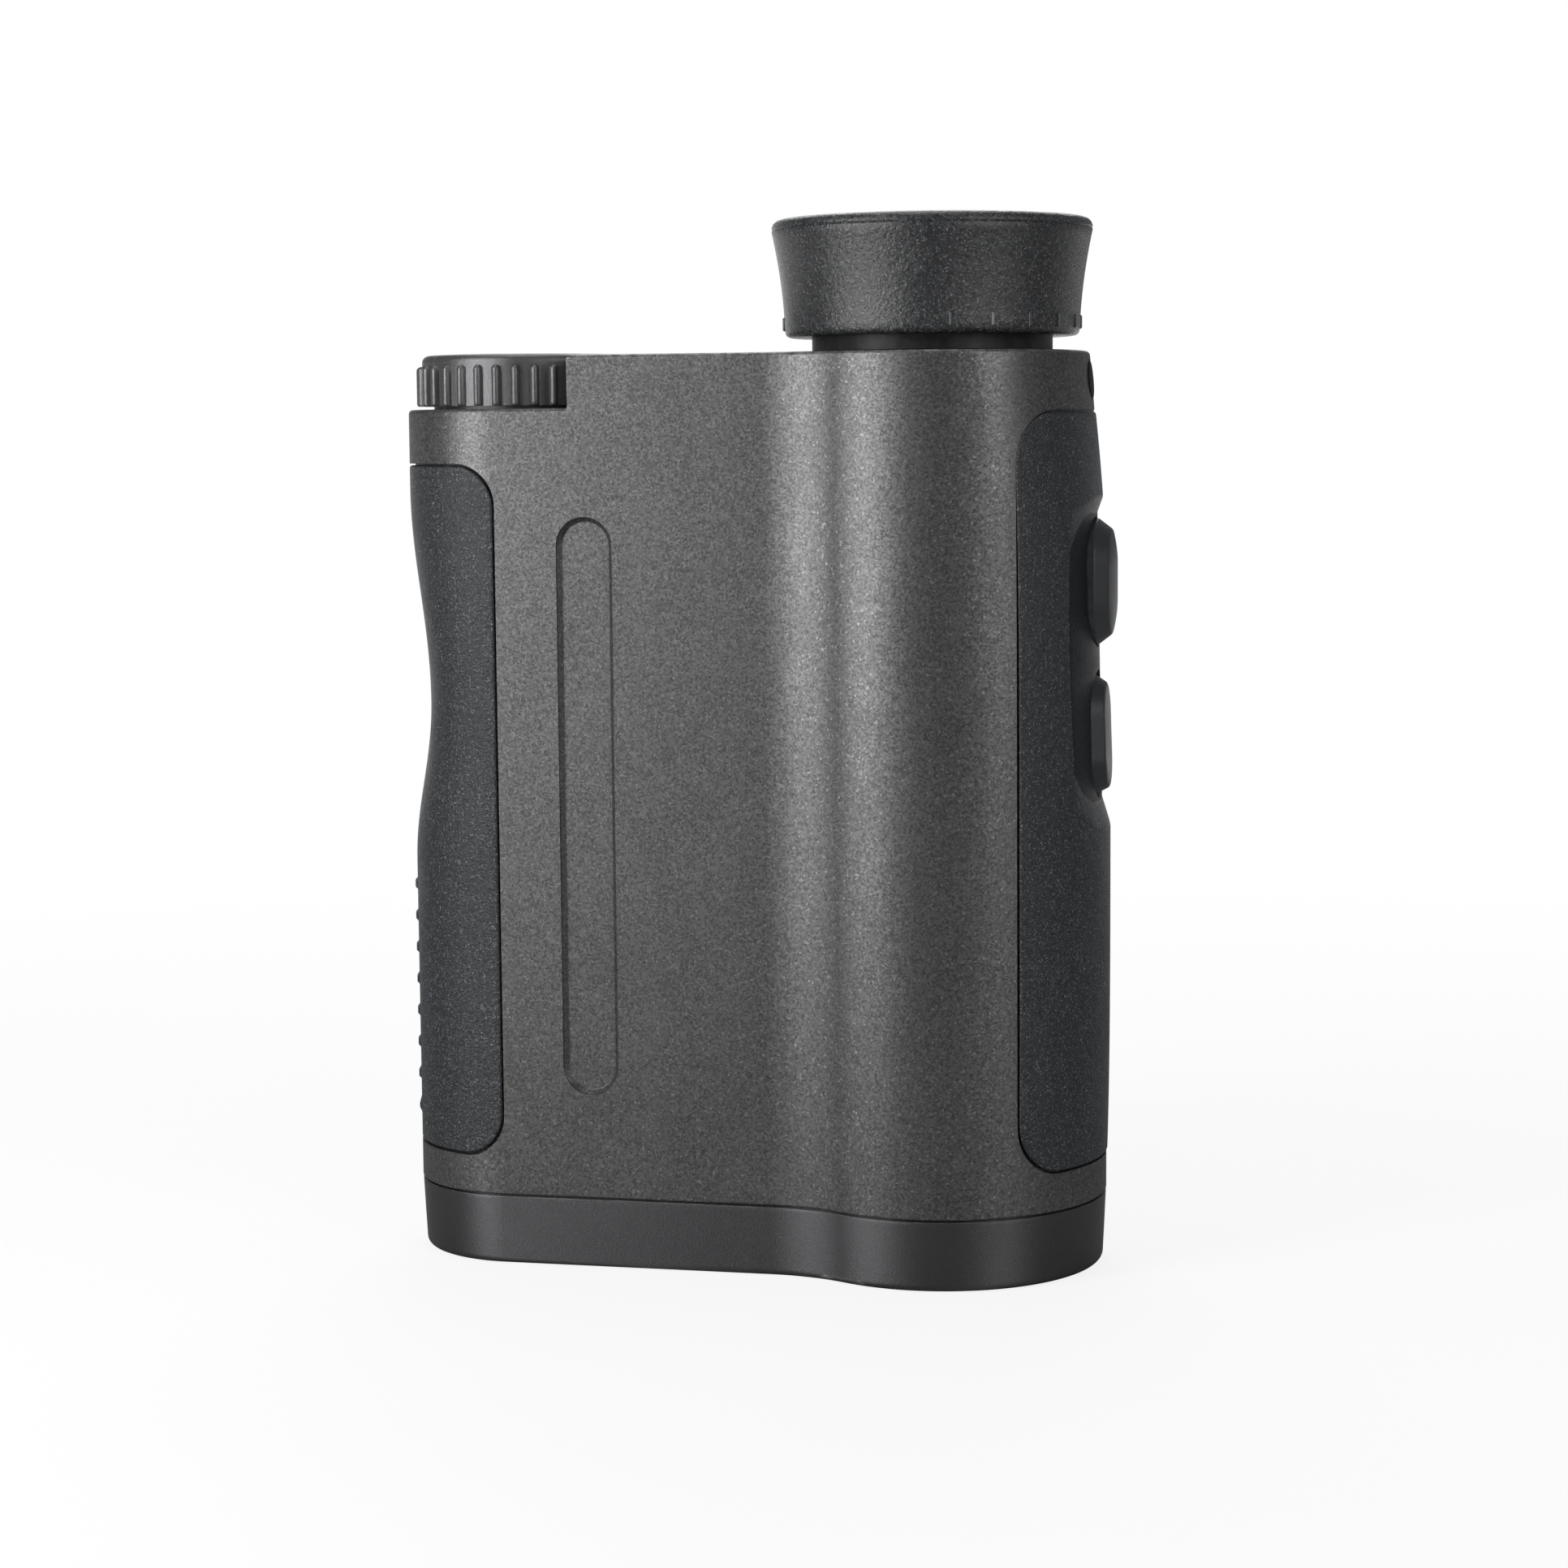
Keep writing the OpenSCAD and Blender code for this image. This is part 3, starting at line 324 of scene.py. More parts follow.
# %% Rubbed edges
group, ins, outs = start_group("rubbed_edges", {"Start": 0.53, "Full": 0.6}, {"Wear": "Float"})
where = add_node(group, "TexCoord")
surface = add_node(group, "NewGeometry")
convex = remap(group, (surface, "Pointiness"), (ins, "Start"), (ins, "Full"))
facing = add_node(group, "SeparateXYZ", {0: (surface, "Normal")})
level = maths(group, "ABSOLUTE", (facing, "Z"))
rounded = maths(group, "MULTIPLY", convex, remap(group, level, 0.99, 0.93))
broken = remap(group, noise(group, where, 900.0, Detail=4.0), 0.35, 0.65)
edge_group = end_group(group, outs, Wear=maths(group, "MULTIPLY", rounded, broken))

# %% Rubbed rim
group, ins, outs = start_group("rubbed_rim", {"Level": 0.0948, "Reach": 0.0004}, {"Wear": "Float"})
where = add_node(group, "TexCoord")
surface = add_node(group, "NewGeometry")
apart = add_node(group, "SeparateXYZ", {0: (where, "Object")})
start = maths(group, "SUBTRACT", (ins, "Level"), (ins, "Reach"))
near = remap(group, (apart, "Z"), start, (ins, "Level"))
facing = add_node(group, "SeparateXYZ", {0: (surface, "Normal")})
rounded = maths(group, "MULTIPLY", near, remap(group, (facing, "Z"), 0.97, 0.85))
broken = remap(group, noise(group, where, 1400.0, Detail=4.0), 0.4, 0.66)
rim_group = end_group(group, outs, Wear=maths(group, "MULTIPLY", rounded, broken))

# %% Handling marks
group, ins, outs = start_group(
    "handling_marks", {"Smooth": 0.35, "Rough": 0.5}, {"Roughness": "Float", "Dust": "Float"}
)
where = add_node(group, "TexCoord")
smears = noise(group, where, 140.0, Detail=5.0, Distortion=0.6)
rough = remap(group, smears, 0.3, 0.7, (ins, "Smooth"), (ins, "Rough"))
dust = remap(group, noise(group, where, 2600.0, Detail=2.0), 0.66, 0.8)
marks_group = end_group(group, outs, Roughness=rough, Dust=dust)

# %% [markdown]
# ## Finishes
# Every finish is a Principled shader, and all but the glass are fed by these groups. Numbers
# that are the same all over a surface sit on the shader's own sockets.


# %% Start a finish
finishes = {}


def start_finish(name, **sockets):
    """A material with its tree and its shader."""
    made = bpy.data.materials.new(name)
    made.use_nodes = True
    tree = made.node_tree
    tree.nodes.clear()
    shader = add_node(tree, "BsdfPrincipled", {k.replace("_", " "): v for k, v in sockets.items()})
    add_node(tree, "OutputMaterial", {"Surface": shader})
    finishes[name] = made
    print("finish:", name)
    return tree, shader


def place_group(tree, group, **sockets):
    """A group node with its own numbers."""
    made = tree.nodes.new("ShaderNodeGroup")
    made.node_tree = group
    for name, value in sockets.items():
        made.inputs[name.replace("_", " ")].default_value = value
    return made


def end_finish(tree, shader, colour, marks=None, height=None, bump=0.0, deep=0.0):
    """Link the colour, the roughness of the handling marks and a bump of some depth in metres."""
    join(tree, colour, 2, shader, "Base Color")
    if marks is not None:
        join(tree, marks, "Roughness", shader, "Roughness")
    if height is not None:
        relief = add_node(tree, "Bump", {"Strength": bump, "Distance": deep, "Height": height})
        join(tree, relief, 0, shader, "Normal")


# %% [markdown]
# ### Housing paint
# The shell is light metal under a satin, dark anthracite paint with metal flakes in it. A
# plain grey would look like plastic, so flakes tilt the normal and lift the colour.

# %% Housing paint
tree, shader = start_finish("housing_paint", Metallic=0.85, Specular_IOR_Level=0.35)
flakes = place_group(tree, flake_group, Flakes_per_Metre=5200.0, Tilt=0.07)
marks = place_group(tree, marks_group, Smooth=0.41, Rough=0.47)
worn = place_group(tree, rim_group)
dull = blend_colours(tree, (flakes, "Tone"), (0.075, 0.075, 0.074), (0.087, 0.087, 0.086))
bright = blend_colours(tree, (flakes, "Tone"), (0.158, 0.157, 0.156), (0.182, 0.181, 0.18))
mixed = blend_colours(tree, (flakes, "Flake"), dull, bright)
flecks = blend_colours(tree, (flakes, "Glint"), mixed, (0.25, 0.248, 0.245))
rubbed = blend_colours(tree, (worn, "Wear"), flecks, (0.32, 0.32, 0.32))
end_finish(tree, shader, rubbed, marks)
join(tree, flakes, "Normal", shader, "Normal")

# %% [markdown]
# ### Moulded plastics
# Bezel, battery cap, buttons and neck are black glass-filled plastics that differ in gloss
# and in how coarse their grain is. One recipe with different numbers covers them all.

# %% Moulded plastic recipe
speck_lift, rub_lift, plastic_deep = 1.35, 2.4, 0.0001


def moulded_plastic(name, dark, light, rough, grains, bump, specular=0.3, metal=0.0, drawn=0.0):
    """A satin plastic or coated metal with fine grain, rubbed edges and handling marks. Drawn
    out of an upright mould, it is rougher up and down than round about."""
    tree, shader = start_finish(
        name, Specular_IOR_Level=specular, Metallic=metal, Anisotropic=drawn, Anisotropic_Rotation=0.25
    )
    grain = place_group(tree, grain_group, Grains_per_Metre=grains)
    marks = place_group(tree, marks_group, Smooth=rough[0], Rough=rough[1])
    worn = place_group(tree, edge_group)
    ground = blend_colours(tree, (grain, "Tone"), dark, light)
    specks = blend_colours(tree, (grain, "Speckle"), ground, tuple(speck_lift * c for c in light))
    rubbed = blend_colours(tree, (worn, "Wear"), specks, tuple(rub_lift * c for c in light))
    end_finish(tree, shader, rubbed, marks, (grain, "Height"), bump, plastic_deep)


# %% Outer plastics
dark, light = (0.084, 0.084, 0.087), (0.1, 0.1, 0.103)
sheen = {"specular": 0.4, "metal": 0.8, "drawn": 0.85}
moulded_plastic("bezel_plastic", dark, light, rough=(0.46, 0.52), grains=4200.0, bump=0.25, **sheen)
dark, light = (0.11, 0.11, 0.113), (0.145, 0.145, 0.148)
sheen = {"specular": 0.5, "metal": 0.8}
moulded_plastic("cap_plastic", dark, light, rough=(0.31, 0.4), grains=5200.0, bump=0.3, **sheen)
dark, light = (0.025, 0.0265, 0.029), (0.035, 0.037, 0.04)
moulded_plastic("button_plastic", dark, light, rough=(0.34, 0.42), grains=6000.0, bump=0.08)
dark, light = (0.0105, 0.0105, 0.011), (0.0125, 0.0125, 0.013)
moulded_plastic("neck_plastic", dark, light, rough=(0.43, 0.48), grains=5000.0, bump=0.06)
dark, light = (0.006, 0.007, 0.009), (0.011, 0.012, 0.014)
moulded_plastic("badge_lacquer", dark, light, rough=(0.5, 0.6), grains=5200.0, bump=0.03, specular=0.08)

# %% Inner plastics
dark, light = (0.008, 0.008, 0.009), (0.014, 0.014, 0.015)
moulded_plastic("barrel_black", dark, light, rough=(0.5, 0.62), grains=2600.0, bump=0.2)
dark, light = (0.05, 0.052, 0.055), (0.075, 0.077, 0.08)
moulded_plastic("frame_plastic", dark, light, rough=(0.45, 0.6), grains=2600.0, bump=0.2)
dark, light = (0.012, 0.012, 0.013), (0.02, 0.02, 0.021)
moulded_plastic("chip_black", dark, light, rough=(0.5, 0.65), grains=5000.0, bump=0.2)

# %% [markdown]
# ### Rubbers
# Grips and eyecup are soft black rubber with a leathery etched grain, a little blue in the
# light. The grain is the main thing the eye sees, so its bump is strong, and its tips are
# painted paler and its pits darker: painted light on the tips, painted shade in the pits.

# %% Rubber recipe
dust_lift, rubber_deep = 1.25, 0.00018


def grained_rubber(name, shaded_pit, tip, speck, rough, grains, bump, specular=0.5):
    """A matt rubber with a leathery grain, painted light on its tips and painted shade in its pits, and tiny
    pale specks.
    """
    tree, shader = start_finish(name, Specular_IOR_Level=specular)
    grain = place_group(tree, grain_group, Grains_per_Metre=grains)
    marks = place_group(tree, marks_group, Smooth=rough[0], Rough=rough[1])
    # Painted light and shade on the grain: higher spots paler, lower spots darker.
    grain_light_and_shade = remap(tree, (grain, "Height"), 0.45, 0.95)
    ground = blend_colours(tree, grain_light_and_shade, shaded_pit, tip)
    specks = blend_colours(tree, (grain, "Speckle"), ground, speck)
    dusty = blend_colours(tree, (marks, "Dust"), specks, tuple(dust_lift * c for c in speck))
    end_finish(tree, shader, dusty, marks, (grain, "Height"), bump, rubber_deep)


# %% Rubbers
shaded_pit, tip, speck = (0.004, 0.005, 0.006), (0.027, 0.0295, 0.034), (0.15, 0.158, 0.168)
grained_rubber("grip_rubber", shaded_pit, tip, speck, rough=(0.32, 0.42), grains=2600.0, bump=0.6)
shaded_pit, tip, speck = (0.007, 0.0075, 0.008), (0.038, 0.039, 0.041), (0.14, 0.142, 0.146)
grained_rubber("eyecup_rubber", shaded_pit, tip, speck, rough=(0.19, 0.26), grains=2300.0, bump=0.46, specular=0.66)
shaded_pit, tip, speck = (0.04, 0.041, 0.043), (0.07, 0.071, 0.074), (0.09, 0.09, 0.09)
grained_rubber("mark_rubber", shaded_pit, tip, speck, rough=(0.2, 0.3), grains=3000.0, bump=0.1, specular=0.65)
shaded_pit, tip, speck = (0.006, 0.006, 0.006), (0.012, 0.012, 0.012), (0.02, 0.02, 0.02)
grained_rubber("seal_rubber", shaded_pit, tip, speck, rough=(0.4, 0.5), grains=3000.0, bump=0.2)


# %% [markdown]
# ### Metals, boards and battery
# These lie inside and show only through the lenses or when the cap is unscrewed, but each one
# still gets the marks of how it is made: brushed metal, a printed board with copper tracks,
# and a printed battery sleeve.


# %% Brushed metal recipe
def brushed_metal(name, dark, light, rough):
    """A metal with fine lines across its axis."""
    tree, shader = start_finish(name, Metallic=1.0)
    where = add_node(tree, "TexCoord")
    stretch = add_node(tree, "Mapping", {"Vector": (where, "Object"), "Scale": (300, 300, 9000)})
    lines = add_node(tree, "TexNoise", {"Vector": stretch, "Scale": 1.0, "Detail": 4.0})
    marks = place_group(tree, marks_group, Smooth=rough[0], Rough=rough[1])
    colour = blend_colours(tree, lines, dark, light)
    end_finish(tree, shader, colour, marks, lines, bump=0.15, deep=0.00005)


brushed_metal("contact_brass", (0.55, 0.38, 0.12), (0.75, 0.55, 0.22), rough=(0.25, 0.38))
brushed_metal("spring_steel", (0.42, 0.42, 0.43), (0.6, 0.6, 0.62), rough=(0.25, 0.4))

# %% Circuit board
tree, shader = start_finish("circuit_board", Specular_IOR_Level=0.4)
where = add_node(tree, "TexCoord")
lines = {"Scale": 420.0, "Mortar Size": 0.06, "Mortar Smooth": 0.2}
tracks = add_node(tree, "TexBrick", {"Vector": (where, "Object"), **lines})
pads = add_node(tree, "TexVoronoi", {"Vector": (where, "Object"), "Scale": 700.0}, feature="F1")
dots = remap(tree, (pads, "Distance"), 0.16, 0.12)
marks = place_group(tree, marks_group, Smooth=0.3, Rough=0.45)
lacquer = blend_colours(tree, (tracks, "Fac"), (0.012, 0.085, 0.04), (0.03, 0.16, 0.075))
end_finish(tree, shader, blend_colours(tree, dots, lacquer, (0.6, 0.46, 0.2)), marks)

# %% Battery sleeve
tree, shader = start_finish("battery_wrap", Specular_IOR_Level=0.45)
where = add_node(tree, "TexCoord")
apart = add_node(tree, "SeparateXYZ", {0: (where, "Object")})
band = remap(tree, (apart, "Z"), 0.076, 0.0762)
marks = place_group(tree, marks_group, Smooth=0.2, Rough=0.36)
grain = place_group(tree, grain_group, Grains_per_Metre=4000.0)
sleeve = blend_colours(tree, (grain, "Tone"), (0.03, 0.032, 0.04), (0.05, 0.052, 0.06))
end_finish(tree, shader, blend_colours(tree, band, sleeve, (0.62, 0.44, 0.13)), marks)


# %% [markdown]
# ### Coated glass
# Lenses are clear, with a thin coating that tints their reflections. Transmission and
# roughness stay plain; faint wipe marks only touch the normal.


# %% Glass recipe
def coated_glass(name, tint, film, roughness):
    """Clear glass with a coating of a given thickness in nanometres."""
    coating = {"Thin_Film_Thickness": film, "Thin_Film_IOR": 1.38}
    tree, shader = start_finish(name, Transmission_Weight=1.0, IOR=1.52, Roughness=roughness, **coating)
    wipes = noise(tree, add_node(tree, "TexCoord"), 300.0, Detail=3.0, Distortion=1.2)
    colour = blend_colours(tree, wipes, tint, tuple(0.97 * c for c in tint))
    end_finish(tree, shader, colour, height=wipes, bump=0.02, deep=0.00002)


coated_glass("eyepiece_glass", (0.94, 0.97, 0.96), film=110.0, roughness=0.01)
coated_glass("objective_glass", (0.9, 0.95, 0.99), film=125.0, roughness=0.01)
coated_glass("laser_glass", (0.62, 0.3, 0.42), film=140.0, roughness=0.01)
coated_glass("prism_glass", (0.92, 0.96, 0.97), film=90.0, roughness=0.02)

# %% [markdown]
# ## The outline
# Seen from above, the housing is a small round lobe, a nearly flat face, a hollow blend and a
# large round lobe, the same on both sides. One function walks along that outline from the
# left nose: it returns the point and the direction that faces outwards. All side surfaces of
# housing, bezel and grips are offsets of it, so they always fit each other.

# %% Outline sizes
bat_x, bat_r = -25.2, 12.2
lobe_x, lobe_r = 19.3, 17.2
blend_r = 16.5
taper = math.radians(1.35)
nose_x = lobe_x + lobe_r
flat_out = Vector((-math.sin(taper), -math.cos(taper)))
flat_run = Vector((math.cos(taper), -math.sin(taper)))
flat_start = Vector((bat_x, 0)) + bat_r * flat_out
to_blend = flat_start + blend_r * flat_out - Vector((lobe_x, 0))
along = to_blend.dot(flat_run)
flat_len = -along - math.sqrt(along**2 - to_blend.dot(to_blend) + (lobe_r + blend_r) ** 2)
blend_c = flat_start + flat_len * flat_run + blend_r * flat_out
blend_end = math.atan2(-blend_c.y, lobe_x - blend_c.x)
bat_len = bat_r * (math.pi / 2 - taper)
blend_len = blend_r * (math.pi / 2 - taper - blend_end)
lobe_len = lobe_r * (math.pi - blend_end)
half_outline = bat_len + flat_len + blend_len + lobe_len
print("half outline in mm:", round(half_outline, 2))


# %% Walk the outline
def outline_at(s):
    """Point and outward direction at length s from the left nose; s below 0 goes round the back."""
    side = -1 if s < 0 else 1
    s = abs(s)
    if s <= bat_len:
        a = math.pi + s / bat_r
        out = Vector((math.cos(a), math.sin(a)))
        point = Vector((bat_x, 0)) + bat_r * out
    elif s <= bat_len + flat_len:
        out = flat_out
        point = flat_start + (s - bat_len) * flat_run
    elif s <= bat_len + flat_len + blend_len:
        a = math.pi / 2 - taper - (s - bat_len - flat_len) / blend_r
        out = -Vector((math.cos(a), math.sin(a)))
        point = blend_c - blend_r * out
    else:
        a = math.pi + blend_end + (s - bat_len - flat_len - blend_len) / lobe_r
        out = Vector((math.cos(a), math.sin(a)))
        point = Vector((lobe_x, 0)) + lobe_r * out
    return Vector((point.x, side * point.y)), Vector((out.x, side * out.y))


def spread(low, high, step):
    """Evenly spaced numbers from low up to, but not with, high."""
    count = max(1, round((high - low) / step))
    return [low + (high - low) * i / count for i in range(count)]


lobe_step, flat_step, blend_step = 0.42, 1.1, 0.5
blend_start, lobe_start = bat_len + flat_len, bat_len + flat_len + blend_len
front_walk = spread(0, bat_len, lobe_step) + spread(bat_len, blend_start, flat_step)
front_walk += spread(blend_start, lobe_start, blend_step) + spread(lobe_start, half_outline, lobe_step)
walk = [-half_outline] + [-s for s in reversed(front_walk[1:])] + front_walk
print("points round the outline:", len(walk))

# %% [markdown]
# ## Mesh tools
# Nearly every piece is a skin over loops: a row of closed curves with the same number of
# points, joined by quads. Real parts have no razor edges, so loops sit close together where
# an edge is rounded. Holes are cut with the Boolean modifier, and a few cut edges are then
# softened with a bevel.


# %% Skin over loops
def skin(loops, ring=False):
    """Points and faces over loops of equal length; a ring joins its last loop to its first."""
    count = len(loops[0])
    points = [p for loop in loops for p in loop]
    faces = []
    for k in range(len(loops) if ring else len(loops) - 1):
        low, high = k * count, (k + 1) % len(loops) * count
        for i in range(count):
            j = (i + 1) % count
            faces.append((low + i, low + j, high + j, high + i))
    if not ring:
        faces.append(tuple(range(count - 1, -1, -1)))
        faces.append(tuple(range((len(loops) - 1) * count, len(loops) * count)))
    return points, faces


def make_object(name, points, faces):
    """A mesh object from points in mm, its faces turned outwards."""
    mesh = bpy.data.meshes.new(name)
    mesh.from_pydata([Vector(p) * mm for p in points], [], faces)
    form = bmesh.new()
    form.from_mesh(mesh)
    bmesh.ops.recalc_face_normals(form, faces=form.faces)
    form.to_mesh(mesh)
    form.free()
    made = bpy.data.objects.new(name, mesh)
    scene.collection.objects.link(made)
    return made


# %% Round and slotted loops
off_axis = 0.37


def round_loop(x, r, z, count=128):
    """A level circle about an upright axis at x. It starts off the axis, because close neighbours
    on a 45 degree line are one point to Pointiness, which would draw a streak there."""
    turns = [math.tau * (i + off_axis) / count for i in range(count)]
    return [Vector((x + r * math.cos(a), r * math.sin(a), z)) for a in turns]


def turned(x, profile, count=128):
    """Level circles about an upright axis at x, one for each radius and height of a profile."""
    return [round_loop(x, r, z, count) for r, z in profile]


def half_turns(steps):
    """Side and angle of the points round two half circles, the upper one first."""
    angles = [math.pi * i / steps for i in range(steps + 1)]
    return [(1, a) for a in angles] + [(-1, a + math.pi) for a in angles]


def slot_loop(x, half_w, half_len, z_mid, steps=24):
    """An upright slot with round ends, in a plane of constant x."""
    loop = []
    for end, a in half_turns(steps):
        z = z_mid + end * (half_len - half_w) + half_w * math.sin(a)
        loop.append(Vector((x, half_w * math.cos(a), z)))
    return loop


# %% Cut and soften
def cut(piece, *solids):
    """Take solids, each given as points and faces, out of a piece."""
    cutters = [make_object("cutter", *solid) for solid in solids]
    for cutter in cutters:
        step = piece.modifiers.new("cut", "BOOLEAN")
        step.operation = "DIFFERENCE"
        step.solver = "MANIFOLD"
        step.object = cutter
    graph = bpy.context.evaluated_depsgraph_get()
    shaped = bpy.data.meshes.new_from_object(piece.evaluated_get(graph))
    piece.modifiers.clear()
    shaped.name = piece.name
    piece.data = shaped
    for cutter in cutters:
        bpy.data.objects.remove(cutter)


def soften(piece, width, chosen, segments=3, least_angle=0.5):
    """Bevel the sharp edges whose middle, in mm, passes the test, and drop faces without area."""
    form = bmesh.new()
    form.from_mesh(piece.data)
    edges = [
        e
        for e in form.edges
        if len(e.link_faces) == 2
        and e.calc_face_angle(0) > least_angle
        and chosen((e.verts[0].co + e.verts[1].co) / 2 / mm)
    ]
    shape = {"segments": segments, "profile": 0.5, "affect": "EDGES", "clamp_overlap": True}
    bmesh.ops.bevel(form, geom=edges, offset=width * mm, **shape)
    bmesh.ops.dissolve_degenerate(form, edges=form.edges, dist=0.0002 * mm)
    form.to_mesh(piece.data)
    form.free()
    return len(edges)


# %% Dress a piece
def dress(piece, body, slot, *nodes, sharp=38):
    """Smooth shading, finish, body and the CAD nodes that this piece stands for."""
    piece.data.polygons.foreach_set("use_smooth", [True] * len(piece.data.polygons))
    piece.data.set_sharp_from_angle(angle=math.radians(sharp))
    even = piece.modifiers.new("even_shading", "WEIGHTED_NORMAL")
    even.keep_sharp = True
    even.weight = 80
    piece.data.materials.clear()
    piece.data.materials.append(finishes[slot])
    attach(piece, body)
    if nodes:
        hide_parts(*nodes)
    print(piece.name, "faces:", len(piece.data.polygons))


# %% [markdown]
# ## Heights and grips
# The heights come from the CAD boxes where a box shows them, so the visual pieces follow the
# frame. The rubber grips are let into windows of the housing. Both window and grip are the
# same round-cornered patch on the outline; the grip is one seam smaller.


# %% Heights
def height_of(node, end):
    """Lower end (0) or upper end (1) of a CAD node, in mm."""
    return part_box(node)[end].z / mm


seam = 0.2
bezel_h, cap_above_shoulder = 7.3, 5.65
deck_z = height_of("main_housing", 1)
bezel_z = height_of("front_bezel", 0) + bezel_h
housing_z = height_of("main_housing", 0)
shoulder_z = height_of("battery_cap", 1) - cap_above_shoulder
cup_z = height_of("eyecup", 0)
eye_x = lobe_x - 0.8
grip_low = height_of("left_grip", 0) - seam
left_top = height_of("left_grip", 1) + seam
right_top = height_of("right_grip", 1) + seam
grip_t, grip_proud = 1.7, 0.1
main_z, second_z = deck_z - 23.6, deck_z - 39.4
button_len, main_w, second_w = 13.0, 9.5, 8.4
notch_x = -17.3
print("deck", deck_z, "shoulder", round(shoulder_z, 2), "grips", grip_low, left_top, right_top)

# %% Curves along the height
bend_z, bend_size = deck_z - 39.8, 860
scallop_z, scallop_deep, scallop_up, scallop_down = left_top - 25, 2.15, 22.5, 17
crown_swell = 0.3


def side_in(z):
    """How far the button side has curved inwards at height z."""
    return max(0.0, z - bend_z) ** 2 / bend_size


def scallop_at(z):
    """Depth of the finger scallop in the battery side."""
    away = z - scallop_z
    t = abs(away) / (scallop_up if away > 0 else scallop_down)
    return scallop_deep * (0.5 + 0.5 * math.cos(math.pi * t)) if t < 1 else 0.0


def crown_at(z):
    """How far the button side grip swells past the lobe."""
    t = (2 * z - grip_low - right_top) / (right_top - grip_low)
    return grip_proud + crown_swell * max(0.0, 1 - t**4)


def outline_loop(inset, z):
    """The outline at height z, set in by a distance, with the button side's inward curve."""
    loop = []
    for s in walk:
        point, out = outline_at(s)
        x = point.x - inset * out.x - side_in(z) * max(0.0, out.x) ** 2
        loop.append(Vector((x, point.y - inset * out.y, z)))
    return loop


print("side bends in above", round(bend_z, 1), "and the scallop is deepest at", round(scallop_z, 1))


# %% Patch on the outline
def edge_distance(u, v, half_u, half_v, corner):
    """Distance inwards from the edge of a round-cornered rectangle."""
    a, b = abs(u) - half_u + corner, abs(v) - half_v + corner
    return corner - math.hypot(max(a, 0), max(b, 0)) - min(max(a, b), 0)


def patch_rows(half, low, high, corner, columns, rows):
    """Rows of (u, z) over a round-cornered rectangle; its corners fix the first and last rows."""
    rise = [corner * (1 - math.cos(math.radians(a))) for a in range(0, 90, 6)]
    levels = [low + h for h in rise] + [z for z in rows if low + corner <= z <= high - corner]
    levels += [high - h for h in reversed(rise)]
    grid = []
    for z in levels:
        h = min(z - low, high - z, corner)
        width = half - corner + math.sqrt(max(0.0, corner**2 - (corner - h) ** 2))
        grid.append([(width * c / half, z) for c in columns])
    return grid


# %% Solid over a patch
def patch_solid(grid, top, bottom, ledge=None, grow=0.0):
    """A closed solid between two surfaces over the same rows; at the ledge its foot grows wider."""
    rows, cols = len(grid), len(grid[0])
    low, high, half = grid[0][0][1], grid[-1][0][1], max(u for row in grid for u, z in row)
    mid, wide, tall = (low + high) / 2, 1 + grow / half, 1 + 2 * grow / (high - low)
    spots = [spot for row in grid for spot in row]
    feet = [(u * wide, mid + (z - mid) * tall) for u, z in spots]
    points = [top(u, z) for u, z in spots] + [bottom(u, z) for u, z in feet]
    under = rows * cols
    faces = []
    for i in range(rows - 1):
        for j in range(cols - 1):
            a, b = i * cols + j, (i + 1) * cols + j
            faces.append((a, a + 1, b + 1, b))
            faces.append((under + a, under + b, under + b + 1, under + a + 1))
    rim = list(range(cols)) + [i * cols + cols - 1 for i in range(1, rows)]
    rim += [(rows - 1) * cols + j for j in range(cols - 2, -1, -1)]
    rim += [i * cols for i in range(rows - 2, 0, -1)]
    walls = [rim]
    for ring in (spots, feet) if ledge else ():
        walls.append(list(range(len(points), len(points) + len(rim))))
        points += [ledge(*ring[i]) for i in rim]
    walls.append([under + i for i in rim])
    for upper, lower in zip(walls, walls[1:]):
        for i in range(len(rim)):
            j = (i + 1) % len(rim)
            faces.append((upper[i], lower[i], lower[j], upper[j]))
    return points, faces


def edged(half, step, edge=(0, 0.05, 0.12, 0.2, 0.3, 0.5), margin=0.9):
    """Columns across a patch: close together at both edges, then evenly spaced."""
    inner = spread(-half + margin, half - margin, step) + [half - margin]
    return [-half + e for e in edge] + inner + [half - e for e in reversed(edge)]


# %% Grip surfaces
left_past_lobe, right_behind_nose = 0.2875, 7.4
left_half = bat_len + left_past_lobe
right_half = lobe_r * math.acos((nose_x - right_behind_nose - lobe_x) / lobe_r)
left_corner, right_corner = 4.4, 5.2


def at_height(h):
    """The same height at every spot of a patch."""
    return lambda u, z: h


def left_surface(lift):
    """The battery side at a height above its skin; lift is a function of u and z."""

    def place(u, z):
        point, out = outline_at(u)
        h = lift(u, z)
        return Vector((point.x + h * out.x + scallop_at(z) * out.x**2, point.y + h * out.y, z))

    return place


def right_surface(lift, follow=1.0):
    """The button side at a height above its skin, following the side's curve or not."""

    def place(u, z):
        a = u / lobe_r
        out = Vector((math.cos(a), math.sin(a)))
        h = lift(u, z)
        shift = follow * (side_in(z) - crown_at(z) + grip_proud) * out.x**2
        return Vector((lobe_x + (lobe_r + h) * out.x - shift, (lobe_r + h) * out.y, z))

    return place


print("grip half widths in mm:", round(left_half, 2), round(right_half, 2))

# %% [markdown]
# ## Housing
# On the real object the housing is one casting. Here it starts as a skin over outlines, with
# loops close together at the rounded deck edge. The grip windows, the label recess, the
# battery notch, the bores and the button pockets are then cut out of it, as a mill would do.

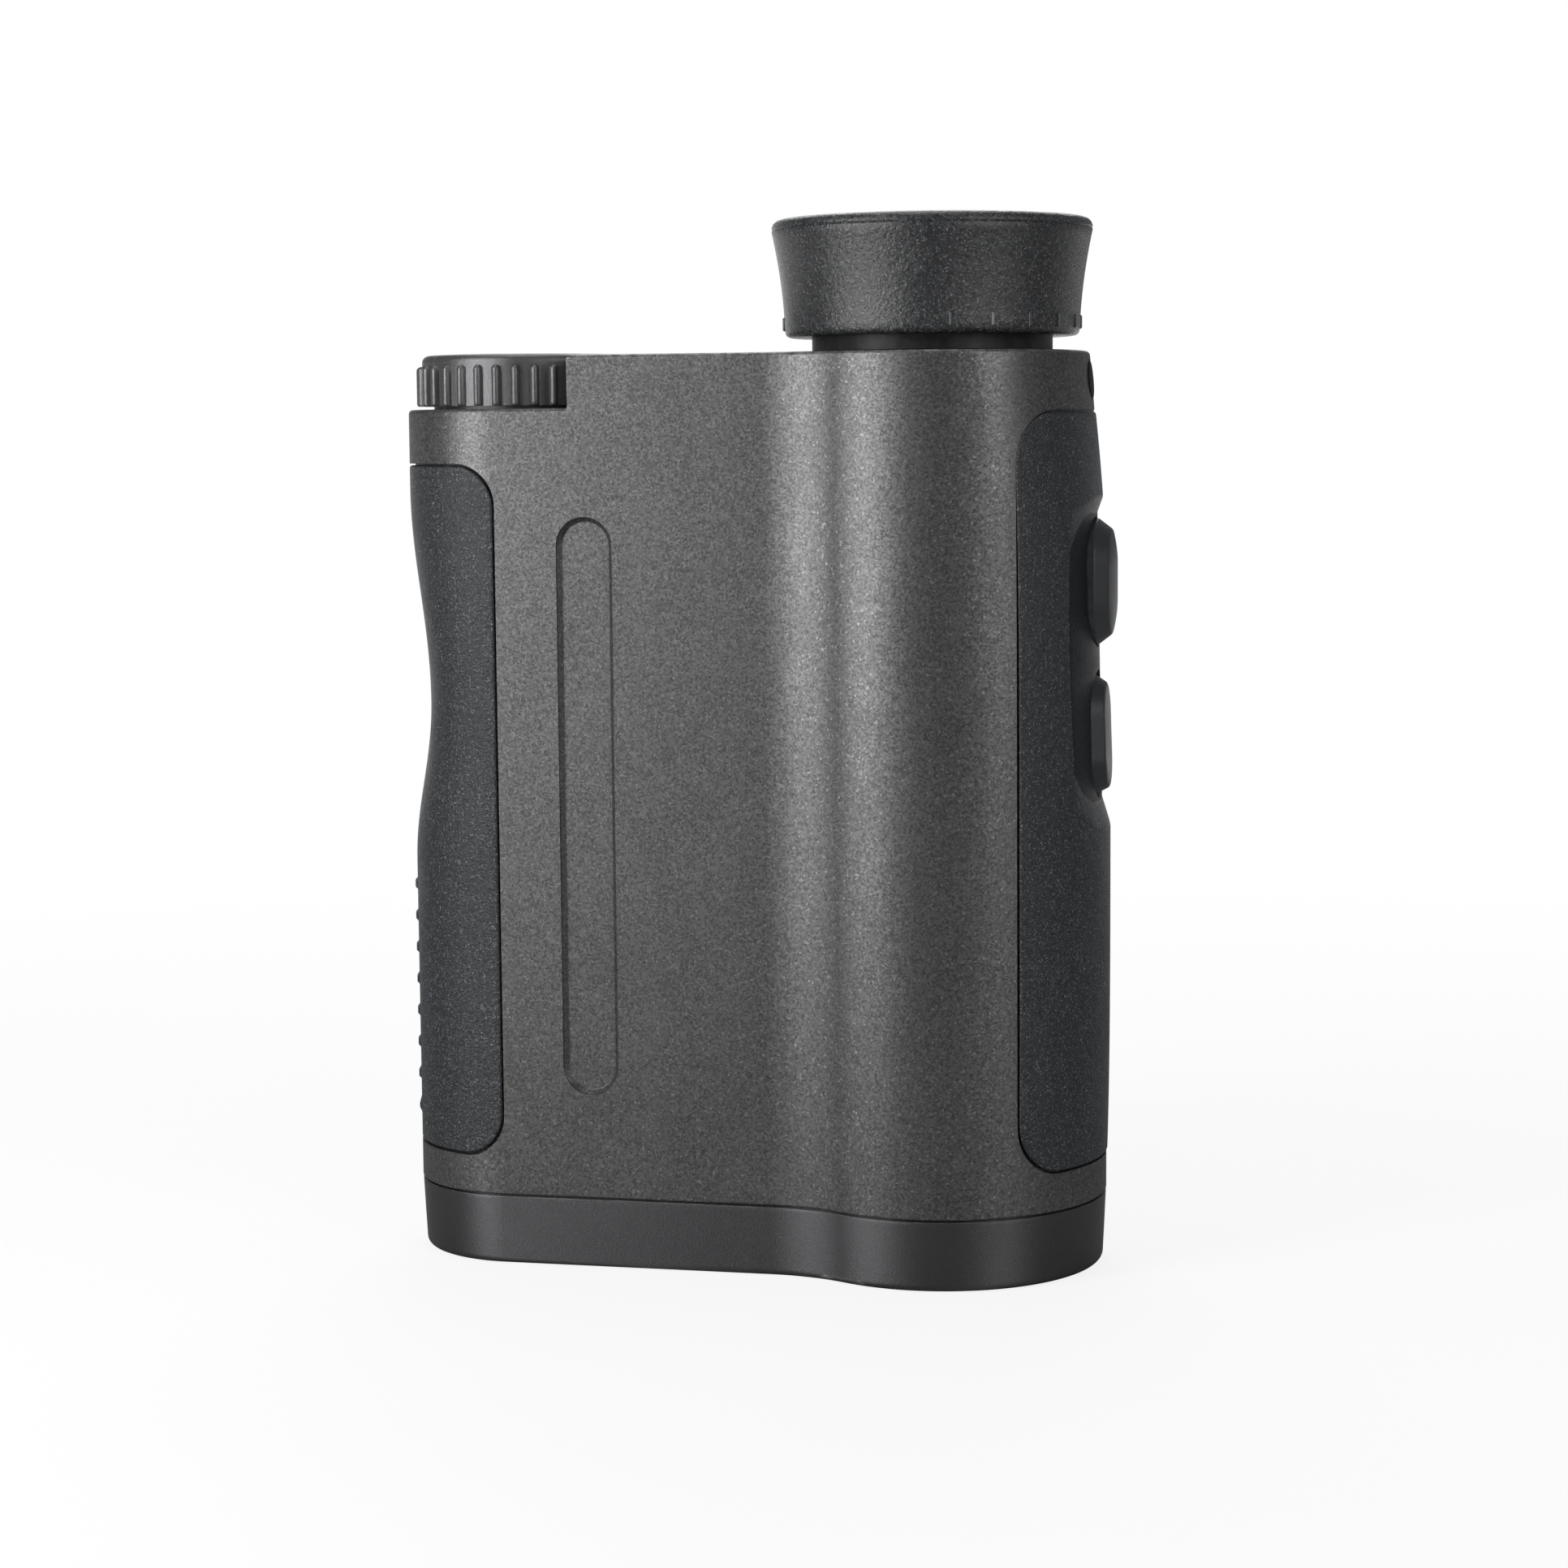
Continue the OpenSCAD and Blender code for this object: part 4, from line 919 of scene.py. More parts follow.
# %% Housing block
deck_round, skin_in = 0.45, 0.002
coarse_low, coarse_high = 12, 56
levels = [(0.12, housing_z), (0.03, housing_z + 0.06), (skin_in, housing_z + 0.16)]
side_levels = spread(coarse_low, coarse_high, 5.5) + spread(coarse_high, deck_z - deck_round, 2.3)
levels += [(skin_in, z) for z in side_levels]
for a in [math.radians(step) for step in (0, 18, 36, 54, 72, 90)]:
    inset = skin_in + deck_round * (1 - math.cos(a))
    levels.append((inset, deck_z - deck_round + deck_round * math.sin(a)))
housing = make_object("painted_housing", *skin([outline_loop(inset, z) for inset, z in levels]))
print("housing block points:", len(housing.data.vertices))

# %% Housing cavity and grip windows
cavity_wall, pad_t, window_rise = 3.3, 4.2, 0.9
pad_x = nose_x - pad_t
inner_wall = [(min(p.x, pad_x), p.y) for p in outline_loop(cavity_wall, 0)]
cavity = [[Vector((x, y, z)) for x, y in inner_wall] for z in (housing_z - 2, shoulder_z - 6)]


def left_depth(u, z):
    """Floor of the battery side window, shallower under the scallop."""
    return -(grip_t - window_rise * scallop_at(z) / scallop_deep)


outside, window_rows = at_height(4.0), spread(0, 100, 1.5)
left_window = patch_rows(left_half, grip_low, left_top, left_corner, edged(left_half, 0.8), window_rows)
right_window = patch_rows(right_half, grip_low, right_top, right_corner, edged(right_half, 0.8), window_rows)
cut(
    housing,
    skin(cavity),
    patch_solid(left_window, left_surface(outside), left_surface(left_depth)),
    patch_solid(right_window, right_surface(outside, follow=0), right_surface(at_height(-grip_t), follow=0)),
)
print("windows cut:", len(housing.data.polygons), "faces")


# %% [markdown]
# The label recess is a long pill pressed into the broad face, with sloping walls that catch
# the light. It is left bare. Its cutter is a stack of pills that narrows with depth, so the
# wall comes out rounded at the top and at the floor.


# %% Label recess
def pill_loop(u_mid, half_w, low, high, depth, steps=20):
    """A pill on the broad face at a depth below it."""
    loop = []
    for end, a in half_turns(steps):
        spot = flat_start + (u_mid + half_w * math.cos(a)) * flat_run - depth * flat_out
        middle = high - half_w if end > 0 else low + half_w
        loop.append(Vector((spot.x, spot.y, middle + half_w * math.sin(a))))
    return loop


label_mid = (bat_x + 9.5 - flat_start.x) / flat_run.x
label_low, label_high, label_half = housing_z + 10.9, shoulder_z - 11.1, 2.95
label_deep = 0.68
label_wall = [(0.03, -1.0), (0.03, -0.002), (0.005, 0.02), (-0.04, 0.2), (-0.45, 0.66), (-0.49, label_deep)]
pills = []
for grow, depth in label_wall:
    pills.append(pill_loop(label_mid, label_half + grow, label_low - grow, label_high + grow, depth))
cut(housing, skin(pills))
print("label recess in mm:", round(label_high - label_low, 1), "by", 2 * label_half)


# %% Battery notch, bores, pockets
def box_loops(x0, x1, y, z0, z1):
    """Two level rectangles, the ends of a box."""
    return [[Vector((x, s, z)) for x, s in ((x0, -y), (x1, -y), (x1, y), (x0, y))] for z in (z0, z1)]


def button_holes(start, play, steps=24):
    """Cutters for both buttons with some play round them, from a place on the X axis outwards."""
    holes = []
    for w, z in ((main_w, main_z), (second_w, second_z)):
        ends = (start, nose_x + 8.5)
        holes.append(skin([slot_loop(x, w / 2 + play, button_len / 2 + play, z, steps) for x in ends]))
    return holes


top, far_x, far_y = deck_z + 10, -60, 40
pocket_r, battery_hole_r, eye_hole_r, thread_r, mouth_r = 11.7, 8.5, 11.25, 9.56, 9.96
bore = [(thread_r, shoulder_z - 3.7), (thread_r, shoulder_z - 0.4), (mouth_r, shoulder_z), (mouth_r, top)]
badge_z, badge_hole_r, badge_sunk, badge_sides = deck_z - 2.9, 2.06, 0.6, 64
badge_x = nose_x - side_in(badge_z) - badge_sunk
turns = [math.tau * i / badge_sides for i in range(badge_sides)]
badge_rim = [(badge_hole_r * math.cos(a), badge_z + badge_hole_r * math.sin(a)) for a in turns]
badge_cut = [[Vector((x, y, z)) for y, z in badge_rim] for x in (badge_x, nose_x + 4)]
cut(
    housing,
    skin(box_loops(far_x, notch_x, far_y, shoulder_z, top)),
    skin(turned(bat_x, [(pocket_r, shoulder_z), (pocket_r, top)], 160)),
    skin(turned(bat_x, bore, 160)),
    skin(turned(bat_x, [(battery_hole_r, shoulder_z - 7), (battery_hole_r, shoulder_z - 3)], 96)),
    skin(turned(eye_x, [(eye_hole_r, shoulder_z - 7), (eye_hole_r, top)], 160)),
    skin(badge_cut),
    *button_holes(start=nose_x - 3.5, play=0.25),
)
print("housing cut:", len(housing.data.polygons), "faces")

# %% Soften the notch
same_level, wall_end = 0.01, -12


def on_shoulder_lip(p):
    """The edge of the shoulder, outside the cap's pocket."""
    beside = p.x < notch_x - 0.02 and math.hypot(p.x - bat_x, p.y) > pocket_r + 0.05
    return beside and abs(p.z - shoulder_z) < same_level


def on_notch_wall(p):
    """The upper and outer edges of the notch's wall."""
    beside = p.x < wall_end and p.z > shoulder_z + 0.05
    return beside and (abs(p.z - deck_z) < same_level or abs(p.x - notch_x) < same_level)


lip_edges = soften(housing, width=0.6, chosen=on_shoulder_lip, segments=4)
wall_edges = soften(housing, width=0.2, chosen=on_notch_wall, segments=2)
dress(housing, "housing", "housing_paint", "main_housing", sharp=30)
print("softened edges:", lip_edges, wall_edges)

# %% [markdown]
# Cutting leaves long thin faces beside the windows, and their shading would streak. The true
# direction of the outer side is known from the outline, so it is written onto every face
# that lies on it. Plane faces get their own direction, the wall of the recess gets one slope
# all round, and the small rounded faces keep what Blender works out.


# %% True shading on the outer side
def side_normal(p):
    """Direction and distance of the outline at a point in mm."""
    side = -1 if p.y > 0 else 1
    q = Vector((p.x, -abs(p.y)))
    flat_end = flat_start + flat_len * flat_run
    blend_stop = Vector((lobe_x, 0)) - lobe_r * Vector((math.cos(blend_end), math.sin(blend_end)))
    if (q - flat_start).dot(flat_run) < 0:
        away = q - Vector((bat_x, 0))
        out, off = away.normalized(), away.length - bat_r
    elif (q - flat_end).dot(flat_run) < 0:
        out, off = flat_out, (q - flat_start).dot(flat_out)
    elif q.x < blend_stop.x:
        away = blend_c - q
        out, off = away.normalized(), blend_r - away.length
    else:
        away = q - Vector((lobe_x, 0))
        away.x += side_in(p.z) * max(0.0, away.x / lobe_r) ** 2
        out, off = away.normalized(), away.length - lobe_r
    rise = 2 * max(0.0, p.z - bend_z) / bend_size * max(0.0, out.x) ** 3
    return Vector((out.x, side * out.y, rise)).normalized(), off


def recess_normal(p, slope):
    """Direction of the recess wall at a point in mm, the same slope all round, with the point's
    distance from the pill's middle line and its depth."""
    across = (p.xy - flat_start).dot(flat_run) - label_mid
    up = p.z - min(max(p.z, label_low + label_half), label_high - label_half)
    away = math.hypot(across, up)
    lean = math.sqrt(max(0.0, 1 - slope**2)) / away
    level = slope * flat_out - lean * across * flat_run
    return Vector((level.x, level.y, -lean * up)), away, (flat_start - p.xy).dot(flat_out)


# %% Write the directions
plane_ways = [(0, 0, 1), (0, 0, -1), (-1, 0, 0), (*flat_out, 0), (flat_out.x, -flat_out.y, 0)]
side_gap, side_turn, plane_turn, wall_reach = 0.01, 0.98, 0.9998, 0.6
directions = [(0, 0, 0)] * len(housing.data.loops)
on_side = 0
for face in housing.data.polygons:
    corners = [side_normal(housing.data.vertices[i].co / mm) for i in face.vertices]
    if all(abs(off) < side_gap and out.dot(face.normal) > side_turn for out, off in corners):
        on_side += 1
        for place, (out, off) in zip(face.loop_indices, corners):
            directions[place] = out
    elif any(face.normal.dot(Vector(plane)) > plane_turn for plane in plane_ways):
        for place in face.loop_indices:
            directions[place] = face.normal
    else:
        slope = face.normal.xy.dot(flat_out)
        away, depth = recess_normal(face.center / mm, slope)[1:]
        if 0 < depth < label_deep + 0.01 and abs(away - label_half) < wall_reach:
            for place, i in zip(face.loop_indices, face.vertices):
                directions[place] = recess_normal(housing.data.vertices[i].co / mm, slope)[0]
housing.modifiers.clear()
housing.data.normals_split_custom_set(directions)
print("faces on the outer side:", on_side, "of", len(housing.data.polygons))

# %% [markdown]
# ## Front bezel
# The black front frame has a slight draft, a rounded foot that the object stands on, two
# flared windows for the lenses, and behind its upper edge a groove and a low lip, which keep
# the seam under the housing dark. It is the same outline again, set in more at each lower loop.

# %% Front bezel
foot_round, draft = 0.8, 0.35
bezel_levels = []
for a in [math.radians(step) for step in (0, 15, 30, 45, 60, 75, 90)]:
    inset = draft + foot_round - foot_round * math.sin(a)
    bezel_levels.append((inset, foot_round - foot_round * math.cos(a)))
bezel_levels += [(0.2, 3.8), (0.06, 6.9), (0.05, bezel_z - 0.1), (0.08, bezel_z - 0.03), (0.13, bezel_z)]
bezel_levels += [(0.16, bezel_z - 0.03), (0.2, bezel_z - 0.4), (0.7, bezel_z - 0.4), (0.7, housing_z - 0.01)]
bezel = make_object("front_frame", *skin([outline_loop(inset, z) for inset, z in bezel_levels]))
bezel_wall, flare = 3, 1.6
lens_windows = ((eye_x, 12.0, 160), (bat_x, 7.5, 128))
flared = [skin(turned(x, [(r + flare, -1), (r, 3), (r, 4)], count)) for x, r, count in lens_windows]
cut(bezel, skin([outline_loop(bezel_wall, z) for z in (3, 20)]), *flared)


def window_foot(x, r):
    """A test for the edge where the window about x meets the foot."""
    return lambda p: abs(p.z) < same_level and math.hypot(p.x - x, p.y) < r + flare - 0.2


window_edges = 0
for x, r, count in lens_windows:
    window_edges += soften(bezel, width=0.3, chosen=window_foot(x, r))
dress(bezel, "housing", "bezel_plastic", "front_bezel", sharp=30)
print("window edges softened:", window_edges)

# %% [markdown]
# ## Battery side grip
# A moulded rubber cover with a hollow for the fingers and a row of low raised bars at the
# nose. The whole relief is a height over the patch: rounded edges, the scallop and the bars
# are all worked out point by point.

# %% Battery side relief
edge_round, ledge_in, foot_play = 0.28, 0.6, 0.05
foot_grow = seam - 0.03
bars_low, bars_high, bar_count = grip_low + 3, left_top - 42, 8
bar_pitch = (bars_high - bars_low) / bar_count
bar_wide, bar_half, bar_corner, bar_slope, bar_lift = 4.0, 0.65, 0.5, 0.3, 0.248


def rounded_edge(u, z, half_u, top, corner):
    """How far a grip's rounded edge falls away at a spot."""
    mid, half = (grip_low + top) / 2, (top - grip_low) / 2
    e = edge_distance(u, z - mid, half_u - seam, half - seam, corner)
    return edge_round - math.sqrt(max(0.0, edge_round**2 - max(0.0, edge_round - e) ** 2))


def left_relief(u, z):
    """Height of the battery side grip: rounded edges and raised bars."""
    past_first = z - bars_low - bar_half
    k = min(bar_count - 1, max(0, round(past_first / bar_pitch)))
    e = edge_distance(u, past_first - k * bar_pitch, bar_wide, bar_half, bar_corner)
    t = min(1.0, max(0.0, e / bar_slope))
    return bar_lift * t * t * (3 - 2 * t) - rounded_edge(u, z, left_half, left_top, left_corner)


def grip_rows(half, top, corner, step, rows):
    """Rows over a grip, which is one seam smaller than its window."""
    return patch_rows(half - seam, grip_low + seam, top - seam, corner, edged(half - seam, step), rows)


# %% Battery side grip
bars_start = bars_low - 0.3
left_rows = spread(0, bars_start, 0.9) + spread(bars_start, bars_high, 0.13) + spread(bars_high, 100, 0.7)
left_solid = patch_solid(
    grip_rows(left_half, left_top, left_corner, 0.42, left_rows),
    left_surface(left_relief),
    left_surface(lambda u, z: left_depth(u, z) + foot_play),
    ledge=left_surface(at_height(-ledge_in)),
    grow=foot_grow,
)
left_grip = make_object("battery_side_grip", *left_solid)
dress(left_grip, "housing", "grip_rubber", "left_grip", sharp=60)

# %% [markdown]
# ## Button side grip
# The same kind of cover, slightly swollen, with a shallow bay round the two buttons. The bay
# floor is a flatter cylinder with sloping ends. Taking the smaller of the two surfaces, with
# a soft minimum, gives the crease between them a small natural radius.

# %% Button bay
floor_r, floor_deep, floor_lean = 26.3, 0.8, 0.25
floor_x = nose_x - floor_deep - floor_r
bay_low, bay_high = second_z - button_len / 2 - 0.2, main_z + button_len / 2 + 0.6
slope_run, low_rise, high_rise = 9, 2.75, 3.25


def bay_radius(z):
    """Radius of the bay floor about its own axis."""
    if z < bay_low:
        return floor_r + floor_lean + low_rise * (bay_low - z) / slope_run
    if z > bay_high:
        return floor_r - floor_lean + high_rise * (z - bay_high) / slope_run
    return floor_r + floor_lean - 2 * floor_lean * (z - bay_low) / (bay_high - bay_low)


def right_relief(u, z):
    """Height of the button side grip before the bay: proud of the lobe, rounded at its edges."""
    return grip_proud - rounded_edge(u, z, right_half, right_top, right_corner)


plain_right = right_surface(right_relief)


def bay_surface(u, z):
    """The grip's skin with the button bay pressed into it."""
    p = plain_right(u, z)
    reach, limit, soft = math.hypot(p.x - floor_x, p.y), bay_radius(z), 0.05
    mix = max(0.0, min(1.0, 0.5 + 0.5 * (limit - reach) / soft))
    kept = limit + (reach - limit) * mix - soft * mix * (1 - mix)
    return Vector((floor_x + (p.x - floor_x) * kept / reach, p.y * kept / reach, z))


# %% Button side grip
fine_low, fine_high, ledge_follow = 38, 88, 0.6
right_rows = spread(0, fine_low, 1.3) + spread(fine_low, fine_high, 0.22) + [fine_high]
right_solid = patch_solid(
    grip_rows(right_half, right_top, right_corner, 0.22, right_rows),
    bay_surface,
    right_surface(at_height(foot_play - grip_t), follow=0),
    ledge=right_surface(at_height(-ledge_in), ledge_follow),
    grow=foot_grow,
)
right_grip = make_object("button_side_grip", *right_solid)
cut(right_grip, *button_holes(start=nose_x - 8.5, play=0.22, steps=40))
dress(right_grip, "housing", "grip_rubber", "right_grip", sharp=60)

# %% [markdown]
# The floor of the bay lies deep, and it gets a painted shade: its colour is a shade darker
# than the grip, and it shines less. It could be a piece of its own; here the finish finds it by
# measuring from the bay's axis, inside a rectangle with round corners. The slopes at both ends
# of the bay keep the grip's colour.

# %% Painted shade on the bay floor
tree = finishes["grip_rubber"].node_tree
shader = tree.nodes["Principled BSDF"]
grained = shader.inputs["Base Color"].links[0].from_node
where = add_node(tree, "TexCoord")
apart = add_node(tree, "SeparateXYZ", {0: (where, "Object")})
level = vectors(tree, "MULTIPLY", (where, "Object"), (1, 1, 0))
reach = vectors(tree, "DISTANCE", level, (floor_x * mm, 0, 0))
lean = remap(tree, (apart, "Z"), bay_low * mm, bay_high * mm, floor_lean * mm, -floor_lean * mm)
upright = maths(tree, "SUBTRACT", (reach, "Value"), lean)
floor_skin, bay_shade_share, floor_specular = 0.03, 0.85, 0.12
on_floor = maths(tree, "COMPARE", upright, floor_r * mm, floor_skin * mm)
bay_mid, bay_half = (bay_low + bay_high) / 2, (bay_high - bay_low) / 2
floor_half, floor_corner = 10.0, 7.0
corner_y, corner_z = floor_half - floor_corner, bay_half - floor_corner
from_mid = vectors(tree, "SUBTRACT", (where, "Object"), (0, 0, bay_mid * mm))
mirrored = vectors(tree, "ABSOLUTE", from_mid)
past_corner = vectors(tree, "SUBTRACT", mirrored, (1, corner_y * mm, corner_z * mm))
outwards = vectors(tree, "MAXIMUM", past_corner, (0, 0, 0))
how_far = vectors(tree, "LENGTH", outwards)
between = maths(tree, "LESS_THAN", (how_far, "Value"), floor_corner * mm)
inside = maths(tree, "MULTIPLY", on_floor, between)
bay_shade_mask = maths(tree, "MULTIPLY", inside, bay_shade_share)
grip_specular = shader.inputs["Specular IOR Level"].default_value
gloss = remap(tree, inside, 0.0, 1.0, grip_specular, floor_specular)
join(tree, gloss, 0, shader, "Specular IOR Level")
# Painted shade: the bay floor's colour is pulled towards a darker rubber.
painted_bay_shade = blend_colours(tree, bay_shade_mask, grained, (0.009, 0.01, 0.012))
join(tree, painted_bay_shade, 2, shader, "Base Color")
print("bay floor from", round(bay_low, 1), "to", round(bay_high, 1), "mm")

# %% [markdown]
# ## Buttons
# Each button is a bevelled slot shape with a crowned top. The loops step inwards from the
# skirt over the bevel to the crown; close pairs of loops keep the two bevel lines crisp but
# not razor sharp.


# %% Buttons
def button(name, node, z_mid, w, crown, dome, tip):
    """A button whose top leans by tip mm per mm of height."""
    x, half_w, half_len = nose_x + crown, w / 2, button_len / 2
    brim_in, brim, skirt_end = 1.25, x - dome - 0.05, x - 1.7
    bevel = [(0, x - 2.9), (0, x - 2.0), (0.03, x - 1.88), (0.1, x - 1.78)]
    bevel += [(1.0, x - dome - 0.2), (1.1, x - dome - 0.11), (brim_in, brim)]
    for t in (0.25, 0.5, 0.75, 0.98):
        bevel.append((brim_in + (half_w - brim_in) * t, brim + (dome + 0.05) * (1 - (1 - t) ** 2)))
    loops = []
    for inset, level in bevel:
        loop = slot_loop(level, half_w - inset, half_len - inset, z_mid)
        lean = tip if level > skirt_end else 0.0
        loops.append([Vector((p.x + lean * (z_mid - p.z), p.y, p.z)) for p in loop])
    dress(make_object(name, *skin(loops)), node, "button_plastic", node, sharp=32)


button("measure_button", "main_button", main_z, main_w, crown=1.14, dome=0.4, tip=0.0)
button("mode_button", "second_button", second_z, second_w, crown=0.38, dome=0.06, tip=0.03)

# %% [markdown]
# ## Eyecup
# A turned rubber ring that flares towards the eye, with a smooth rolled rim and small raised
# marks near its foot for the focus setting. A lathe profile gives the ring; the marks are
# small smooth bars that sink into it.

# %% Eyecup profile
foot_r, rim_r, bore_r, cup_h = 15.25, 16.5, 12.46, 12.0
side = []
for t in [i / 12 for i in range(13)]:
    side.append((foot_r + (rim_r - foot_r) * (0.35 * t + 0.65 * t**1.8), 2 + (cup_h - 3.2) * t))
foot = [(-0.75, 0), (-0.45, 0.06), (-0.2, 0.24), (-0.09, 0.55), (-0.02, 1.1)]
rolled = [(-0.02, -1.14), (-0.09, -1.08), (-0.08, -1.02), (0, -0.94), (-0.03, -0.72), (-0.16, -0.42)]
rolled += [(-0.42, -0.17), (-0.8, -0.03), (-1.1, -0.002)]
hollow = [(2.2, -0.05), (1.75, -0.3), (1.4, -0.75), (0.25, -2.6), (0.05, -2.85), (0, -3.1)]
profile = [(bore_r, 0.1), (bore_r + 0.1, 0)] + [(foot_r + r, z) for r, z in foot] + side
profile += [(rim_r + r, cup_h + z) for r, z in rolled] + [(bore_r + r, cup_h + z) for r, z in hollow]
cup_loops = turned(eye_x, [(r, cup_z + z) for r, z in profile], 192)
eyecup = make_object("rubber_eyecup", *skin(cup_loops, ring=True))
dress(eyecup, "eyecup", "eyecup_rubber", "eyecup", sharp=45)


# %% Eyecup marks
mark_half, mark_low, mark_high, mark_pitch, far_mark = 0.2, 0.7, 2.1, 16.5, 191.4
mark_steps = ((14.6, 0.0), (15.28, 0.0), (15.36, 0.04), (15.42, 0.13))


def raised_mark(angle):
    """A small bar on the eyecup's side, narrower at its outer face."""
    c, s = math.cos(angle), math.sin(angle)
    loops = []
    for reach, shrink in mark_steps:
        wide, low, high = mark_half - shrink, cup_z + mark_low + shrink, cup_z + mark_high - shrink
        corners = ((-wide, low), (wide, low), (wide, high), (-wide, high))
        loops.append([Vector((eye_x + reach * c - a * s, reach * s + a * c, z)) for a, z in corners])
    return skin(loops)


mark_points, mark_faces = [], []
for turn in [(k - 4.5) * mark_pitch for k in range(9)] + [far_mark]:
    points, faces = raised_mark(math.radians(turn))
    mark_faces += [tuple(i + len(mark_points) for i in face) for face in faces]
    mark_points += points
mark_bars = make_object("focus_marks", mark_points, mark_faces)
dress(mark_bars, "eyecup", "eyecup_rubber", sharp=30)
mark_bars.data.materials[0] = finishes["mark_rubber"]

# %% [markdown]
# ## Battery cap
# A ribbed screw cap with a smooth band above the ribs and a slot for a coin. Ribs could be
# copied round the axis; here each loop is a circle whose radius swells at every rib, so cap
# and ribs are one clean skin. The coin slot is more loops, from the round top to a long slot.

# %% Battery cap loops
cap_z, cap_r, cap_h = shoulder_z + 0.35, 10.7, 5.3
rib_count, per_rib = 34, 20
around = per_rib * rib_count
rib_half, rib_end, rib_proud = 0.46, 3.72, 0.6


def ribbed_loop(r, z, proud=0.0):
    """A circle whose radius swells at every rib; the ribs end in half rounds."""
    loop = []
    for i in range(around):
        a = math.tau * (i + off_axis) / around
        u = (i % per_rib / per_rib - 0.5) * math.tau * cap_r / rib_count
        away = math.hypot(u, max(0.0, z - rib_end)) / rib_half
        reach = r + proud * math.sqrt(max(0.0, 1 - away**2))
        loop.append(Vector((bat_x + reach * math.cos(a), reach * math.sin(a), cap_z + z)))
    return loop


def coin_loop(half_w, half_len, z):
    """A long slot with as many points as a ribbed loop, starting at its +X end."""
    straight, turn = 2 * (half_len - half_w), math.pi * half_w
    length = 2 * straight + 2 * turn
    loop = []
    for i in range(around):
        d = ((i + off_axis) / around * length + turn / 2) % length
        if d < turn:
            a = d / half_w - math.pi / 2
            x, y = half_len - half_w + half_w * math.cos(a), half_w * math.sin(a)
        elif d < turn + straight:
            x, y = half_len - half_w - (d - turn), half_w
        elif d < 2 * turn + straight:
            a = (d - turn - straight) / half_w + math.pi / 2
            x, y = -half_len + half_w + half_w * math.cos(a), half_w * math.sin(a)
        else:
            x, y = -half_len + half_w + (d - 2 * turn - straight), -half_w
        loop.append(Vector((bat_x + x, y, cap_z + z)))
    return loop


print("points round the cap:", around)


# %% Battery cap
plug = [(9.2, -4.0), (9.5, -3.75), (9.5, -2.8), (8.12, -2.8)]
plug += [(8.12, -1.2), (9.5, -1.2), (9.5, 0.0), (10.2, 0.0)]
cap_loops = [ribbed_loop(r, z) for r, z in plug]
rib_foot = ((0.0, 0.45), (0.1, 0.56), (0.25, rib_proud), (1.9, rib_proud))
cap_loops += [ribbed_loop(cap_r, z, proud) for z, proud in rib_foot]
rib_rises = (0, 0.1, 0.2, 0.28, 0.35, 0.4, 0.44, rib_half)
cap_loops += [ribbed_loop(cap_r, rib_end + rise, rib_proud) for rise in rib_rises]
band = [(0, 4.4), (0, 4.62), (0.06, 4.86), (0.22, 5.08), (0.48, 5.24)]
band += [(inset, cap_h) for inset in (0.8, 0.9, 1.15)]
cap_loops += [ribbed_loop(cap_r - inset, z) for inset, z in band]
coin_half = 6.6
coin_slot = [(half_w, cap_h) for half_w in (1.35, 1.15, 1.05)]
coin_slot += [(0.95, 5.26), (0.9, 5.15), (0.9, 3.95), (0.85, 3.9)]
cap_loops += [coin_loop(half_w, coin_half + half_w, z) for half_w, z in coin_slot]
cap = make_object("ribbed_battery_cap", *skin(cap_loops))
dress(cap, "battery_cap", "cap_plastic", "battery_cap", sharp=42)

# %% [markdown]
# ## Badge
# A small bare lacquered disc is set into the button side near the eyepiece. It is a shallow
# dome with a turned edge.


